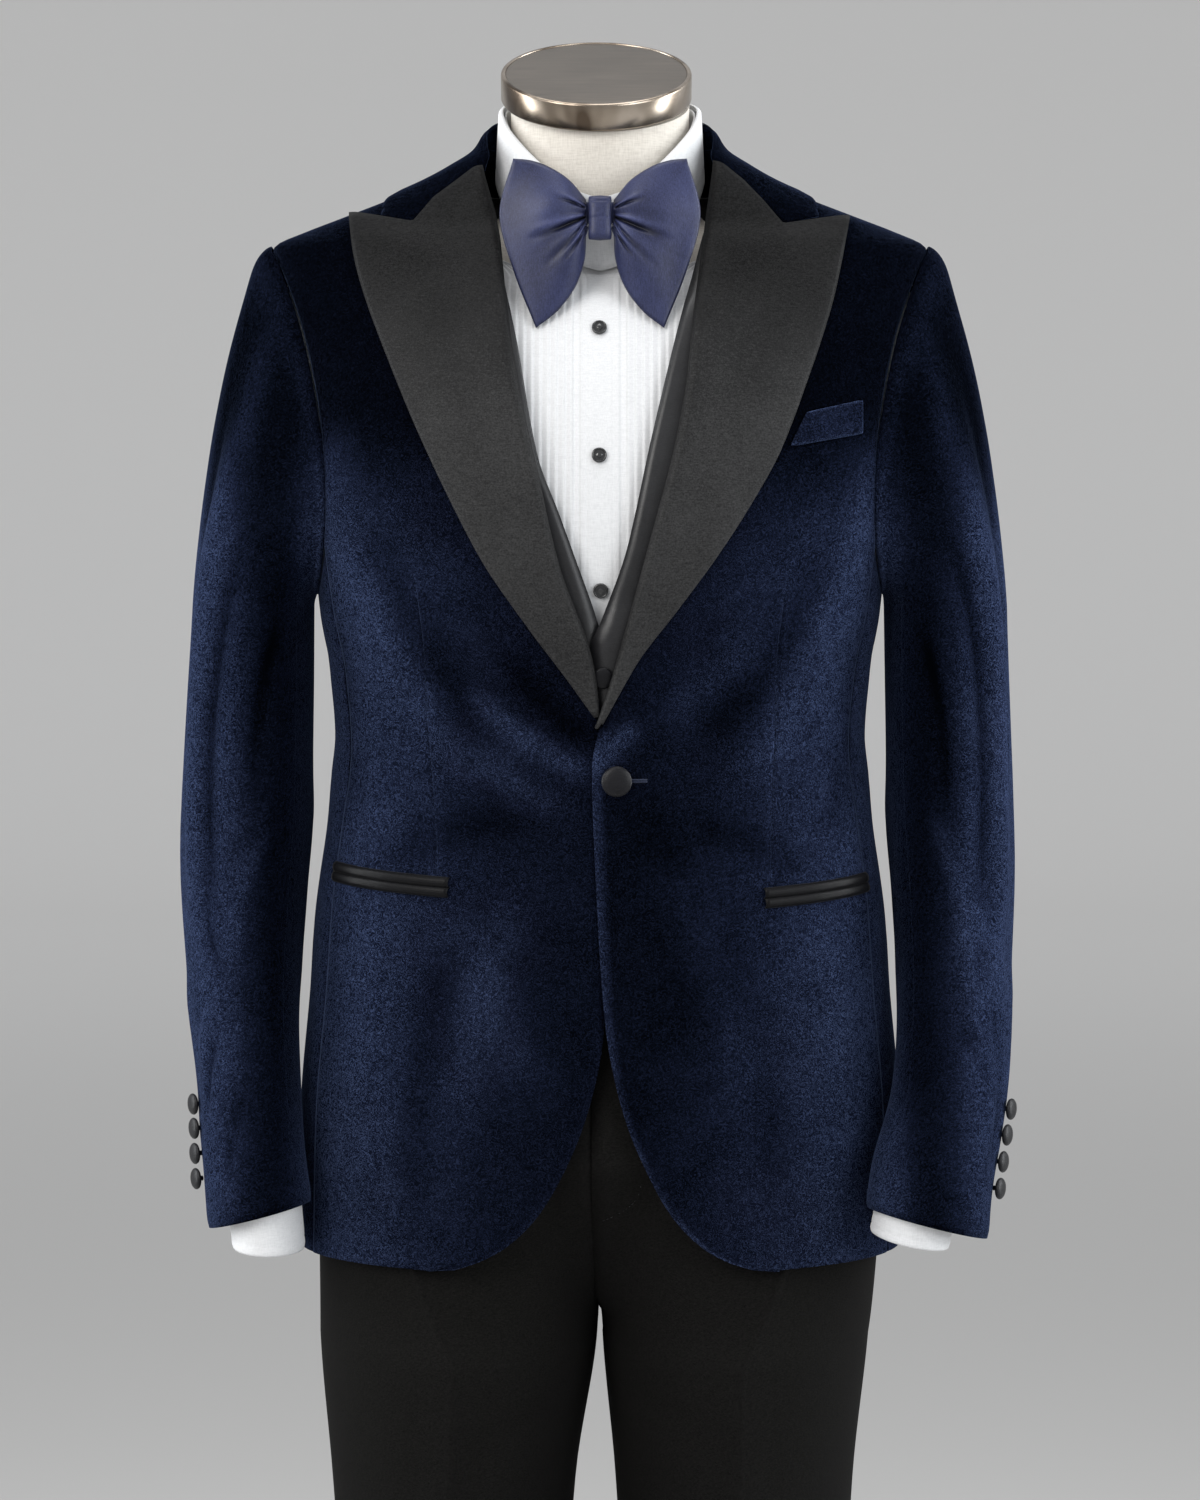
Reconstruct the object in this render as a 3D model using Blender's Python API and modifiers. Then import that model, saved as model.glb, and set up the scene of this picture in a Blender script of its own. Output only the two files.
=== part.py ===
"""Dinner suit on a dress form: velvet coat, waistcoat, pleated shirt, bow tie and trousers.

The frame is metres with +Z up.  The origin is the centre of the stand's underside, the
wearer faces -Y and the wearer's left is +X.  Tables and lengths below are millimetres.
Every garment follows one figure, given as level sections; a "turn" is the angle round such
a section in degrees: 0 at the front, 90 at the side and 180 at the back.
"""
import math
from collections import namedtuple

import bmesh
import bpy
from mathutils import Matrix, Vector

MM = 0.001
SEAM = 0.4            # space between two pieces that are sewn together
ROUNDNESS = 2.35      # superellipse exponent of the figure's sections

# ---- the figure: inner face of the coat, level by level ---------------------------------
Section = namedtuple("Section", "height half_width half_depth centre_y")
COAT_SECTIONS = (
    Section(880, 205, 136, 2), Section(985, 202, 134, 2), Section(1060, 195, 129, 2),
    Section(1125, 190, 123, 2), Section(1175, 183, 117, 0), Section(1228, 177.5, 113, -2),
    Section(1275, 181, 116, -3), Section(1320, 188, 121, -3), Section(1370, 194, 125, -2),
    Section(1420, 200, 123, 1), Section(1470, 208, 115, 5), Section(1515, 215, 101, 9),
    Section(1545, 219, 84, 12), Section(1560, 218, 74, 13), Section(1569, 199, 69, 14),
    Section(1579, 173, 66, 14), Section(1590, 144, 64, 14), Section(1600, 118, 63, 13),
    Section(1610, 98, 64, 12), Section(1622, 80, 67, 9), Section(1645, 71.5, 69, 6),
)
SHOULDER_START = 1515     # above this the layers are also stacked upwards
SHOULDER_FULL = 1560
SHOULDER_LIFT = 0.9

# distance of each layer's inner face from the coat's inner face
WAISTCOAT_IN = -8.0
WAISTBAND_IN = -12.6
SHIRT_IN = -16.0
FORM_IN = -25.0

# wall thicknesses
COAT_WALL = 2.0
WAISTCOAT_WALL = 1.6
SHIRT_WALL = 1.0
TROUSERS_WALL = 1.5

# ---- coat ---------------------------------------------------------------------------------
COAT_HEM = 887
FRONT_SEAM_TURN = 68      # seam between front and side panel
BACK_SEAM_TURN = 112      # seam between side and back panel
COAT_NECK = 1611          # shoulder seam's inner end
COAT_STAND_TOP = 1627     # collar stand at the back of the neck
BACK_ROWS = (COAT_HEM, 940, 1010, 1090, 1165, 1228, 1290, 1364, 1426, 1490, 1535, 1550,
             1559, 1573, 1590, COAT_NECK, COAT_STAND_TOP)
Armhole = namedtuple("Armhole", "height half_height half_turn")
COAT_ARMHOLE = Armhole(1444, 114, 27.5)
SHIRT_ARMHOLE = Armhole(1444, 99, 22)
WAISTCOAT_ARMHOLE = Armhole(1434, 144, 37)
ARMHOLE_ROUNDNESS = 2.4

Edge = namedtuple("Edge", "height x")     # x is counted towards the piece's own side
LEFT_FRONT_EDGE = (
    Edge(887, 118), Edge(889, 100), Edge(894, 84), Edge(905, 66), Edge(924, 48),
    Edge(950, 33), Edge(985, 18), Edge(1028, 7), Edge(1068, 2), Edge(1133, -2),
    Edge(1217, -5), Edge(1238, -2), Edge(1258, 4), Edge(1303, 16), Edge(1355, 30),
    Edge(1421, 47), Edge(1465, 55), Edge(1513, 60), Edge(1550, 66), Edge(1587, 70),
    Edge(1611, 72),
)
RIGHT_FRONT_EDGE = (
    Edge(887, 114), Edge(889, 96), Edge(894, 80), Edge(905, 61), Edge(924, 42),
    Edge(950, 26), Edge(985, 11), Edge(1028, 0), Edge(1068, -4), Edge(1133, -9),
    Edge(1217, -11), Edge(1238, -6), Edge(1258, 0), Edge(1303, 11), Edge(1355, 28),
    Edge(1421, 43), Edge(1465, 52), Edge(1513, 60), Edge(1550, 64), Edge(1587, 70),
    Edge(1611, 74),
)
FRONT_COLUMNS = 8
FRONT_ROWS = (887, 889, 894, 905, 924, 950, 985, 1028, 1090, 1165, 1228, 1275, 1364,
              1426, 1490, 1535, 1550, 1559, 1573, 1590, 1611)
OVERLAP_LIFT = 3.4        # how far the left front rides over the right one
OVERLAP_NEAR = 16
OVERLAP_FAR = 62
OVERLAP_HEIGHTS = (985, 1046, 1262, 1310)

# lapel outlines in front view: (x, height), own side positive, bottom to top
LAPEL_OUT = 2.7           # inner face of a lapel beyond the coat's inner face
LAPEL_WALL = 1.6
LAPEL_ROLL_STAND = 2.2    # extra height of the lapel along its fold
LAPEL_PEAK_OUT = 2.2      # extra height towards the peak, over the rounded shoulder
RIGHT_LAPEL_FOLD = ((1, 1252), (8, 1295), (27, 1350), (42, 1418), (53, 1468), (61, 1527),
                    (66, 1567), (72, 1594), (75, 1608))
RIGHT_LAPEL_SIDE = ((3, 1252), (19, 1275), (43, 1307), (72, 1349), (94, 1390), (116, 1436),
                    (133, 1476), (150, 1521), (159, 1549), (163.5, 1579.5))
LEFT_LAPEL_FOLD = ((-2, 1244), (9, 1275), (26, 1340), (39, 1390), (48, 1426), (56, 1470),
                   (61, 1520), (66, 1553), (70, 1587), (72, 1611))
LEFT_LAPEL_SIDE = ((1, 1248), (23, 1288), (49, 1322), (73, 1355), (96, 1390), (116, 1426),
                   (137, 1481), (149, 1519), (156.5, 1548), (162.5, 1577))
RIGHT_LAPEL_TOP = ((75, 1608), (91, 1597), (106, 1587), (120.5, 1571), (143, 1575.5),
                   (163.5, 1579.5))
LEFT_LAPEL_TOP = ((72, 1611), (90, 1598), (104, 1585), (118, 1569.5), (141, 1573.5),
                  (162.5, 1577))
LAPEL_COLUMNS = 6
LAPEL_ROWS = 14

# collar of the coat, half of it: a row at each station from the gorge to the centre back
Station = namedtuple("Station", "turn fold_height edge_height")
COLLAR_STATIONS = (
    Station(57, 1618, 1582), Station(69, 1625, 1588), Station(81, 1632, 1592),
    Station(93, 1637, 1595), Station(106, 1642, 1595), Station(120, 1646, 1594),
    Station(135, 1650, 1592), Station(150, 1652, 1590), Station(165, 1653, 1589),
    Station(180, 1654, 1588),
)
COLLAR_GORGE = ((75, 1613), (92, 1600.5), (107, 1590.5), (122, 1577.5), (145, 1579))
COLLAR_OUT = 4.4          # inner face of the collar's edge beyond the coat's inner face
COLLAR_FOLD_OUT = 3.4
COLLAR_BULGE = 1.6        # how far the collar leaf is rounded between its fold and edge
COLLAR_WALL = 1.8

# ---- sleeves ------------------------------------------------------------------------------
Ring = namedtuple("Ring", "height centre_x centre_y half_width half_depth")
RIGHT_SLEEVE_RINGS = (      # wearer's right, bottom to top, x counted outwards
    Ring(917, 227, -78, 35, 50), Ring(950, 231, -68, 34, 52), Ring(1000, 235, -48, 34, 55),
    Ring(1060, 241, -24, 37, 58), Ring(1120, 242, -6, 41, 62), Ring(1180, 240, 5, 43.5, 66),
    Ring(1250, 238, 9, 43, 70), Ring(1318, 235, 8, 41, 76),
)
LEFT_SLEEVE_RINGS = (
    Ring(917, 216, -108, 41, 46), Ring(950, 220, -98, 40, 50), Ring(1000, 233, -66, 38, 54),
    Ring(1060, 239, -32, 38, 58), Ring(1120, 240, -8, 40, 62), Ring(1180, 238, 5, 42, 66),
    Ring(1250, 236, 9, 42, 70), Ring(1318, 234, 8, 41, 76),
)
SLEEVE_WALL = 1.8
SLEEVE_HEAD_ROWS = 4
SLEEVE_HEAD_OUT = 3.8       # sleeve head's start beyond the coat's inner face
SLEEVE_CAP_REACH = 22       # how far the crown leaves the armhole sideways
SLEEVE_CAP_LEAN = 18        # how far the outside leans in above the top ring
SLEEVE_CAP_RISE = 5         # small rise of the crown over the shoulder seam
SLEEVE_FRONT_SEAM = -52     # section angles of the two sleeve seams
SLEEVE_BACK_SEAM = 128
CUFF_DROP_SIDE = 0.26       # slope of the cuff edge, lower on the outside
CUFF_DROP_BACK = 0.10       # and lower at the back
CUFF_SLOPE_HEIGHT = 1000    # the slope fades out up to here

SLEEVE_BUTTON_HEIGHTS = (946, 960, 974, 988)
SLEEVE_BUTTON_TURN = 86
SLEEVE_BUTTON_FACE = 30     # how far the discs tip to the front on their shanks, degrees
SLEEVE_BUTTON_RADIUS = 7.2
SLEEVE_BUTTON_STAND = 3.4   # shank length
COAT_BUTTON_RADIUS = 10
COAT_BUTTON_PLACE = (10.5, 1210)

# ---- pockets ------------------------------------------------------------------------------
HipPocket = namedtuple("HipPocket", "front_turn back_turn front_height back_height")
RIGHT_HIP_POCKET = HipPocket(27.5, 66.5, 1139.3, 1144.3)     # heights of its middle line
LEFT_HIP_POCKET = HipPocket(30.5, 66.5, 1132, 1137)
POCKET_HALF_HEIGHT = 6.2
BREAST_POCKET_X = (128, 170)
BREAST_POCKET_SLANT = 0.5           # its inner end follows the lapel's edge
BREAST_POCKET_HEIGHTS = (1439, 1447)
BREAST_POCKET_HALF_HEIGHT = 10.5
WELT_WALL = 1.4

# ---- waistcoat ----------------------------------------------------------------------------
WAISTCOAT_SIDE_TURN = 88
WAISTCOAT_OVERLAP_LIFT = 3.3
WAISTCOAT_OVERLAP_END = (1304, 1330)
LEFT_WAISTCOAT_EDGE = (
    Edge(1040, 22), Edge(1060, 0), Edge(1120, -7), Edge(1295, -7), Edge(1315, 1),
    Edge(1354, 16), Edge(1385, 24), Edge(1430, 34), Edge(1494, 50), Edge(1531, 60),
    Edge(1564, 68), Edge(1609, 84),
)
RIGHT_WAISTCOAT_EDGE = (
    Edge(1040, 22), Edge(1060, 2), Edge(1120, -7), Edge(1280, -7), Edge(1315, 2),
    Edge(1356, 17), Edge(1385, 28), Edge(1421, 42), Edge(1494, 56), Edge(1531, 64),
    Edge(1564, 70), Edge(1609, 84),
)
WAISTCOAT_ROWS = (1040, 1060, 1120, 1190, 1250, 1290, 1315, 1362, 1430, 1500, 1545, 1578, 1607)
WAISTCOAT_BUTTON_HEIGHTS = (1277, 1215, 1153)
WAISTCOAT_BUTTON_RADIUS = 7

# ---- shirt --------------------------------------------------------------------------------
SHIRT_HEM = 985
SHIRT_ROWS = (SHIRT_HEM, 1085, 1180, 1260, 1320, 1380, 1430, 1480, 1520, 1545, 1562, 1578,
              1592)
SHIRT_NECK_START = 1545     # above this the front is cut down round the neck
SHIRT_NECK_SQUEEZE = 0.35
STUD_PLACES = ((-0.5, 1505), (-0.5, 1422), (0.5, 1334))
STUD_RADIUS = 5
NECK_HALF_WIDTH = 62
NECK_HALF_DEPTH = 58
NECK_Y = 2
CollarRow = namedtuple("CollarRow", "turn top leaf_bottom")
SHIRT_COLLAR = (
    CollarRow(0, 1591, 1560), CollarRow(14, 1596, 1549), CollarRow(30, 1606, 1552),
    CollarRow(60, 1630, 1582), CollarRow(90, 1649, 1606), CollarRow(130, 1658, 1614),
    CollarRow(180, 1661, 1617),
)
COLLAR_STAND_HEIGHT = 48
Cuff = namedtuple("Cuff", "centre_x centre_y half_width half_depth bottom top slope lean")
RIGHT_CUFF = Cuff(224, -79, 24.5, 38, 895, 930, -0.04, 3)    # slope: lower edge's fall outwards
LEFT_CUFF = Cuff(209.5, -108, 26.5, 35, 906, 936, 0.19, 5)   # lean: lower edge's shift inwards
CUFF_WALL = 1.4
SHIRT_SLEEVE_INSET = 7.5    # the shirt's sleeve inside the coat's
SHIRT_SLEEVE_TOP_INSET = 3.5
SHIRT_SLEEVE_JOIN = 0.67     # where its two lengths meet, between the third ring and the fourth

# ---- bow tie ------------------------------------------------------------------------------
BOW_BASE_Y = -81          # at the lower tips; the bow leans back with the neck
BOW_LEAN = 0.13
BOW_BOTTOM = ((9, 1566), (10, 1550), (16, 1532), (28, 1516), (42, 1505))
BOW_TOP = ((9, 1589), (20, 1602), (34, 1611), (46, 1615), (57, 1616))
BOW_SIDE = ((42, 1505), (57, 1543), (66, 1580), (57, 1616))
BOW_WALL = 3.0
BOW_PLEATS = 2
BOW_PLEAT_DEPTH = 5.0
KNOT_HALF_WIDTH = 8
KNOT_BOTTOM, KNOT_TOP = 1562, 1592
BOW_BAND_HALF_HEIGHT = 7

# ---- trousers -----------------------------------------------------------------------------
WAISTBAND_BOTTOM, WAISTBAND_TOP = 1064, 1100
CROTCH = 826
FORK_TOP = 955
Inset = namedtuple("Inset", "height inset")
TROUSER_SIDE = (Inset(780, 19), Inset(900, 14), Inset(1000, 13), Inset(1100, 12.6))
Leg = namedtuple("Leg", "height centre_x centre_y half_width half_depth")
RIGHT_LEG_RINGS = (
    Leg(48, 102, 6, 55, 68), Leg(300, 101, 4, 62, 74), Leg(500, 100, 0, 69, 84),
    Leg(640, 100, -2, 77, 96), Leg(730, 100, -2, 83, 106), Leg(826, 96.5, -1, 94, 119),
    Leg(960, 96.5, 0, 95, 122),
)
LEFT_LEG_RINGS = (
    Leg(48, 95, 6, 55, 68), Leg(300, 94, 4, 62, 74), Leg(500, 93, 0, 69, 84),
    Leg(640, 92.5, -2, 76, 96), Leg(730, 92, -2, 81, 106), Leg(826, 92.7, -1, 90.2, 119),
    Leg(960, 95.5, 0, 94, 122),
)
LEG_ROUNDNESS = 2.1
CREASE_DEPTH = 5
CREASE_TURN = 9
TROUSER_ROWS = (48, 300, 500, 640, 730, 790, 826, 850, 880, 915, 960, 1062)

# ---- dress form and stand -------------------------------------------------------------------
FORM_BOTTOM = 965
FORM_RINGS = 14
NeckRing = namedtuple("NeckRing", "height half_width half_depth centre_y tilt")
NECK_RINGS = (
    NeckRing(1570, 86, 49, 12, 2), NeckRing(1590, 63, 53, 9, 9), NeckRing(1612, 60, 55, 5, 15),
    NeckRing(1640, 60, 57, 2, 20), NeckRing(1656, 60, 57, 1, 22),
)
CAP_CENTRE = (-2.5, 0, 1659)
CAP_TILT = 23.5
CAP_HEIGHT = 19
CAP_RADIUS = 64
CAP_BEVEL = 2.0
POST_X = 100
POST_RADIUS = 12.5
BASE_RADIUS = 190
BASE_HEIGHT = 12
GAP = 0.4

COLORS = {
    "velvet": ((0.010, 0.020, 0.075), 0.85, 0.0),
    "lapel_satin": ((0.040, 0.040, 0.041), 0.40, 0.0),
    "waistcoat_satin": ((0.016, 0.016, 0.017), 0.42, 0.0),
    "shirt_cotton": ((0.86, 0.86, 0.87), 0.80, 0.0),
    "stud_black": ((0.02, 0.02, 0.02), 0.30, 0.0),
    "bow_satin": ((0.030, 0.036, 0.100), 0.38, 0.0),
    "trouser_wool": ((0.012, 0.012, 0.012), 0.75, 0.0),
    "linen": ((0.62, 0.57, 0.50), 0.90, 0.0),
    "steel": ((0.50, 0.48, 0.46), 0.25, 1.0),
    "stand_steel": ((0.35, 0.34, 0.33), 0.35, 1.0),
}


# ---- reading the tables ---------------------------------------------------------------------
def read_table(rows, value):
    """Columns of a table at a value of its first column, on a smooth curve through the rows."""
    value = min(max(value, rows[0][0]), rows[-1][0])
    index = 0
    while index < len(rows) - 2 and value > rows[index + 1][0]:
        index += 1
    low, high = rows[index], rows[index + 1]
    before = rows[max(index - 1, 0)]
    after = rows[min(index + 2, len(rows) - 1)]
    span = high[0] - low[0]
    k = (value - low[0]) / span
    columns = []
    for column in range(1, len(low)):
        slope_low = (high[column] - before[column]) / (high[0] - before[0]) * span
        slope_high = (after[column] - low[column]) / (after[0] - low[0]) * span
        columns.append(
            low[column] * (1 + 2 * k) * (1 - k) ** 2 + high[column] * (3 - 2 * k) * k * k
            + slope_low * k * (1 - k) ** 2 - slope_high * k * k * (1 - k))
    return columns


def along(points, k):
    """Point at fraction k of the way along a polyline, by length, on a smooth curve."""
    lengths = [0.0]
    for a, b in zip(points, points[1:]):
        lengths.append(lengths[-1] + math.dist(a, b))
    rows = [(s, *p) for s, p in zip(lengths, points)]
    return read_table(rows, k * lengths[-1])


def at_stop(points, k):
    """Point at fraction k of a list of points, straight between them."""
    place = min(k * (len(points) - 1), len(points) - 1 - 1e-9)
    index = int(place)
    part = place - index
    return [a + (b - a) * part for a, b in zip(points[index], points[index + 1])]


def mix(a, b, k):
    return a + (b - a) * k


def spread(first, last, columns):
    """Evenly spaced stops from first to last."""
    return [mix(first, last, i / columns) for i in range(columns + 1)]


def ease(low, high, value):
    k = min(max((value - low) / (high - low), 0.0), 1.0)
    return k * k * (3 - 2 * k)


def power(value, exponent):
    return math.copysign(abs(value) ** exponent, value)


# ---- the figure's surface -------------------------------------------------------------------
def figure(turn, height, out=0.0):
    """Point of the figure, moved out from the coat's inner face."""
    width, depth, centre_y = read_table(COAT_SECTIONS, height)
    angle = math.radians(turn)
    x = (width + out) * power(math.sin(angle), 2 / ROUNDNESS)
    y = centre_y - (depth + out) * power(math.cos(angle), 2 / ROUNDNESS)
    lift = SHOULDER_LIFT * ease(SHOULDER_START, SHOULDER_FULL, height)
    return Vector((x, y, height + out * lift))


def turn_at(x, height):
    """Turn at which the figure's front passes a sideways distance x."""
    width = read_table(COAT_SECTIONS, height)[0]
    ratio = min(abs(x) / width, 1.0)
    return math.copysign(math.degrees(math.asin(ratio ** (ROUNDNESS / 2))), x)


def armhole_turn(height, hole=None):
    """Turn of the front edge of an armhole; the back edge mirrors it about 90."""
    centre, half_height, half_turn = hole or COAT_ARMHOLE
    ratio = min(abs(height - centre) / half_height, 1.0)
    reach = (1 - ratio ** ARMHOLE_ROUNDNESS) ** (1 / ARMHOLE_ROUNDNESS)
    return 90 - half_turn * reach


def seam_step(height):
    """Half a seam's width as a turn."""
    return math.degrees(SEAM / 2 / read_table(COAT_SECTIONS, height)[0])


# ---- making objects -------------------------------------------------------------------------
def clear_scene():
    for obj in list(bpy.data.objects):
        bpy.data.objects.remove(obj, do_unlink=True)


def make_collection(name):
    collection = bpy.data.collections.new(name)
    bpy.context.scene.collection.children.link(collection)
    return collection


def make_material(name):
    color, roughness, metallic = COLORS[name]
    material = bpy.data.materials.new(name)
    material.use_nodes = True
    shader = material.node_tree.nodes["Principled BSDF"]
    shader.inputs["Base Color"].default_value = (*color, 1.0)
    shader.inputs["Roughness"].default_value = roughness
    shader.inputs["Metallic"].default_value = metallic
    material.diffuse_color = (*color, 1.0)
    return material


def own_material(name):
    """The material of that name, made on first use."""
    return bpy.data.materials.get(name) or make_material(name)


def add_object(name, mesh, material):
    obj = bpy.data.objects.new(name, mesh)
    obj.data.materials.append(own_material(material))
    PARTS.objects.link(obj)
    return obj


def loft_mesh(name, grid, closed=False, caps=False):
    """Surface through rows of points; faces look outwards when u runs with the turn."""
    mesh = bpy.data.meshes.new(name)
    work = bmesh.new()
    rows = [[work.verts.new(Vector(point) * MM) for point in row] for row in grid]
    count = len(rows[0])
    last = count if closed else count - 1
    for lower, upper in zip(rows, rows[1:]):
        for i in range(last):
            j = (i + 1) % count
            work.faces.new((lower[i], lower[j], upper[j], upper[i]))
    if caps:
        work.faces.new(list(reversed(rows[0])))
        work.faces.new(rows[-1])
    work.to_mesh(mesh)
    work.free()
    mesh.shade_smooth()
    return mesh


def wall(name, grid, thickness, material, closed=False, side=1, outward=True):
    """A cloth piece: a lofted surface with a Solidify wall, mirrored for the right side."""
    if side < 0:
        grid = [[(-x, y, z) for x, y, z in reversed(row)] for row in grid]
    obj = add_object(name, loft_mesh(name, grid, closed), material)
    solid = obj.modifiers.new("Wall", "SOLIDIFY")
    solid.thickness = thickness * MM
    solid.offset = 1.0 if outward else -1.0
    solid.use_quality_normals = True
    return obj


def side_name(side):
    return "left" if side > 0 else "right"


# ---- coat -----------------------------------------------------------------------------------
def front_outer_turn(height):
    """Side seam, then armhole, then shoulder seam."""
    if height <= COAT_ARMHOLE.height:
        return min(FRONT_SEAM_TURN, armhole_turn(height)) - seam_step(height)
    return armhole_turn(height) - seam_step(height)


def overlap_lift(side, x, height):
    """Rise of the left front where it lies over the right one."""
    if side < 0:
        return 0.0
    start, full, end, gone = OVERLAP_HEIGHTS
    band = ease(start, full, height) * (1 - ease(end, gone, height))
    return OVERLAP_LIFT * band * (1 - ease(OVERLAP_NEAR, OVERLAP_FAR, x))


def make_coat_front(side):
    edge = LEFT_FRONT_EDGE if side > 0 else RIGHT_FRONT_EDGE
    grid = []
    for height in FRONT_ROWS:
        first = turn_at(read_table(edge, height)[0], height)
        last = front_outer_turn(height)
        row = []
        for i in range(FRONT_COLUMNS + 1):
            turn = mix(first, last, i / FRONT_COLUMNS)
            x = figure(turn, height).x
            row.append(figure(turn, height, overlap_lift(side, x, height)))
        grid.append(row)
    wall("coat_front_" + side_name(side), grid, COAT_WALL, "velvet", side=side)


def make_coat_side(side):
    columns, rows = 4, 9
    grid = []
    for j in range(rows + 1):
        row = []
        for i in range(columns + 1):
            turn = mix(FRONT_SEAM_TURN, BACK_SEAM_TURN, i / columns)
            step = seam_step(COAT_HEM) * (1 - 2 * i / columns)
            reach = min(abs(turn - 90) / COAT_ARMHOLE.half_turn, 1.0)
            drop = (1 - reach ** ARMHOLE_ROUNDNESS) ** (1 / ARMHOLE_ROUNDNESS)
            top = COAT_ARMHOLE.height - COAT_ARMHOLE.half_height * drop
            row.append(figure(turn + step, mix(COAT_HEM, top, j / rows)))
        grid.append(row)
    wall("coat_side_" + side_name(side), grid, COAT_WALL, "velvet", side=side)


def make_coat_back(side):
    grid = []
    for height in BACK_ROWS:
        first = 180 - armhole_turn(height)
        if height <= COAT_ARMHOLE.height:
            first = max(BACK_SEAM_TURN, first)
        turns = spread(first + seam_step(height), 180, 6)
        row = [figure(turn, height) for turn in turns]
        row[-1].x = SEAM / 2
        grid.append(row)
    wall("coat_back_" + side_name(side), grid, COAT_WALL, "velvet", side=side)


def make_lapel(side):
    """Facing folded over the coat's front, from the fold out to the peak."""
    fold = LEFT_LAPEL_FOLD if side > 0 else RIGHT_LAPEL_FOLD
    outer = LEFT_LAPEL_SIDE if side > 0 else RIGHT_LAPEL_SIDE
    top = LEFT_LAPEL_TOP if side > 0 else RIGHT_LAPEL_TOP
    high_in, high_out = top[0], top[-1]
    grid = []
    for j in range(LAPEL_ROWS + 1):
        v = (j / LAPEL_ROWS) ** 0.9
        row = []
        for i in range(LAPEL_COLUMNS + 1):
            u = i / LAPEL_COLUMNS
            a, b = along(fold, v), along(outer, v)
            c = at_stop(top, u)
            x = mix(a[0], b[0], u)
            z = mix(a[1], b[1], u)
            x += v ** 3 * (c[0] - mix(high_in[0], high_out[0], u))
            z += v ** 3 * (c[1] - mix(high_in[1], high_out[1], u))
            lift = LAPEL_OUT + overlap_lift(side, x, z) + LAPEL_ROLL_STAND * (1 - u) ** 2
            lift += LAPEL_PEAK_OUT * ease(1455, 1565, z)
            row.append(figure(turn_at(x, z), z, lift))
        grid.append(row)
    wall("lapel_" + side_name(side), grid, LAPEL_WALL, "lapel_satin", side=side)


def make_collar():
    """Velvet leaf round the neck, from gorge to gorge."""
    rows = 4
    half = [[figure(turn_at(x, height), height, COLLAR_OUT)
             for x, height in (at_stop(COLLAR_GORGE, j / rows) for j in range(rows + 1))]]
    for station in COLLAR_STATIONS:
        line = []
        for j in range(rows + 1):
            k = j / rows
            out = mix(COLLAR_FOLD_OUT, COLLAR_OUT, k) + COLLAR_BULGE * math.sin(math.pi * k)
            line.append(figure(station.turn, mix(station.fold_height, station.edge_height, k),
                               out))
        half.append(line)
    other = [[(-x, y, z) for x, y, z in line] for line in reversed(half[:-1])]
    columns = half + other
    grid = [[column[j] for column in columns] for j in reversed(range(rows + 1))]
    wall("coat_collar", grid, COLLAR_WALL, "velvet")


# ---- sleeves ----------------------------------------------------------------------------------
def ring_point(rings, angle, height, inset):
    """Point of a sleeve's section; the angle is 0 at the front and 90 on the outside."""
    centre_x, centre_y, half_width, half_depth = read_table(rings, height)
    a = math.radians(angle)
    x = centre_x + (half_width - inset) * math.sin(a)
    y = centre_y - (half_depth - inset) * math.cos(a)
    fade = 1 - ease(rings[0].height, CUFF_SLOPE_HEIGHT, height)
    drop = CUFF_DROP_SIDE * (x - centre_x) + CUFF_DROP_BACK * (y - centre_y)
    return Vector((x, y, height - drop * fade))


def armhole_point(angle, out, hole):
    """Point of an armhole's loop that a sleeve's section angle leads to."""
    a = math.radians(angle)
    height = hole.height + hole.half_height * power(math.sin(a), 2 / ARMHOLE_ROUNDNESS)
    turn = 90 - hole.half_turn * power(math.cos(a), 2 / ARMHOLE_ROUNDNESS)
    return figure(turn, height, out)


def sleeve_head_point(rings, angle, k, inset, out, hole=COAT_ARMHOLE):
    """Point between the top ring (k = 0) and the armhole (k = 1), leaving both smoothly."""
    low = ring_point(rings, angle, rings[-1].height, inset)
    high = armhole_point(angle, out, hole)
    crown = max(math.sin(math.radians(angle)), 0.0)
    climb = Vector((-SLEEVE_CAP_LEAN * crown, 0, max(high.z - low.z, 6.0)))
    arrive = Vector((-SLEEVE_CAP_REACH * (0.4 + 2.2 * crown), 0, SLEEVE_CAP_RISE * crown * 4))
    point = (low * (1 + 2 * k) * (1 - k) ** 2 + high * (3 - 2 * k) * k * k
             + climb * k * (1 - k) ** 2 - arrive * k * k * (1 - k))
    return point


def sleeve_grid(rings, angles, inset, out, head_rows=SLEEVE_HEAD_ROWS):
    heights = [ring.height for ring in rings]
    grid = [[ring_point(rings, angle, height, inset) for angle in angles] for height in heights]
    for j in range(1, head_rows + 1):
        k = j / head_rows
        grid.append([sleeve_head_point(rings, angle, k, inset, out) for angle in angles])
    return grid


def sleeve_rings(side):
    return LEFT_SLEEVE_RINGS if side > 0 else RIGHT_SLEEVE_RINGS


def make_sleeve(side):
    """Two-piece sleeve: the top piece in front and outside, the under piece behind."""
    step = math.degrees(SEAM / 2 / 45)
    rings = sleeve_rings(side)
    name = side_name(side)
    top = spread(SLEEVE_FRONT_SEAM + step, SLEEVE_BACK_SEAM - step, 9)
    under = spread(SLEEVE_BACK_SEAM + step, SLEEVE_FRONT_SEAM + 360 - step, 7)
    for part, angles in (("top", top), ("under", under)):
        grid = sleeve_grid(rings, angles, SLEEVE_WALL, SLEEVE_HEAD_OUT)
        wall("sleeve_" + part + "_" + name, grid, SLEEVE_WALL, "velvet", side=side)


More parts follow.
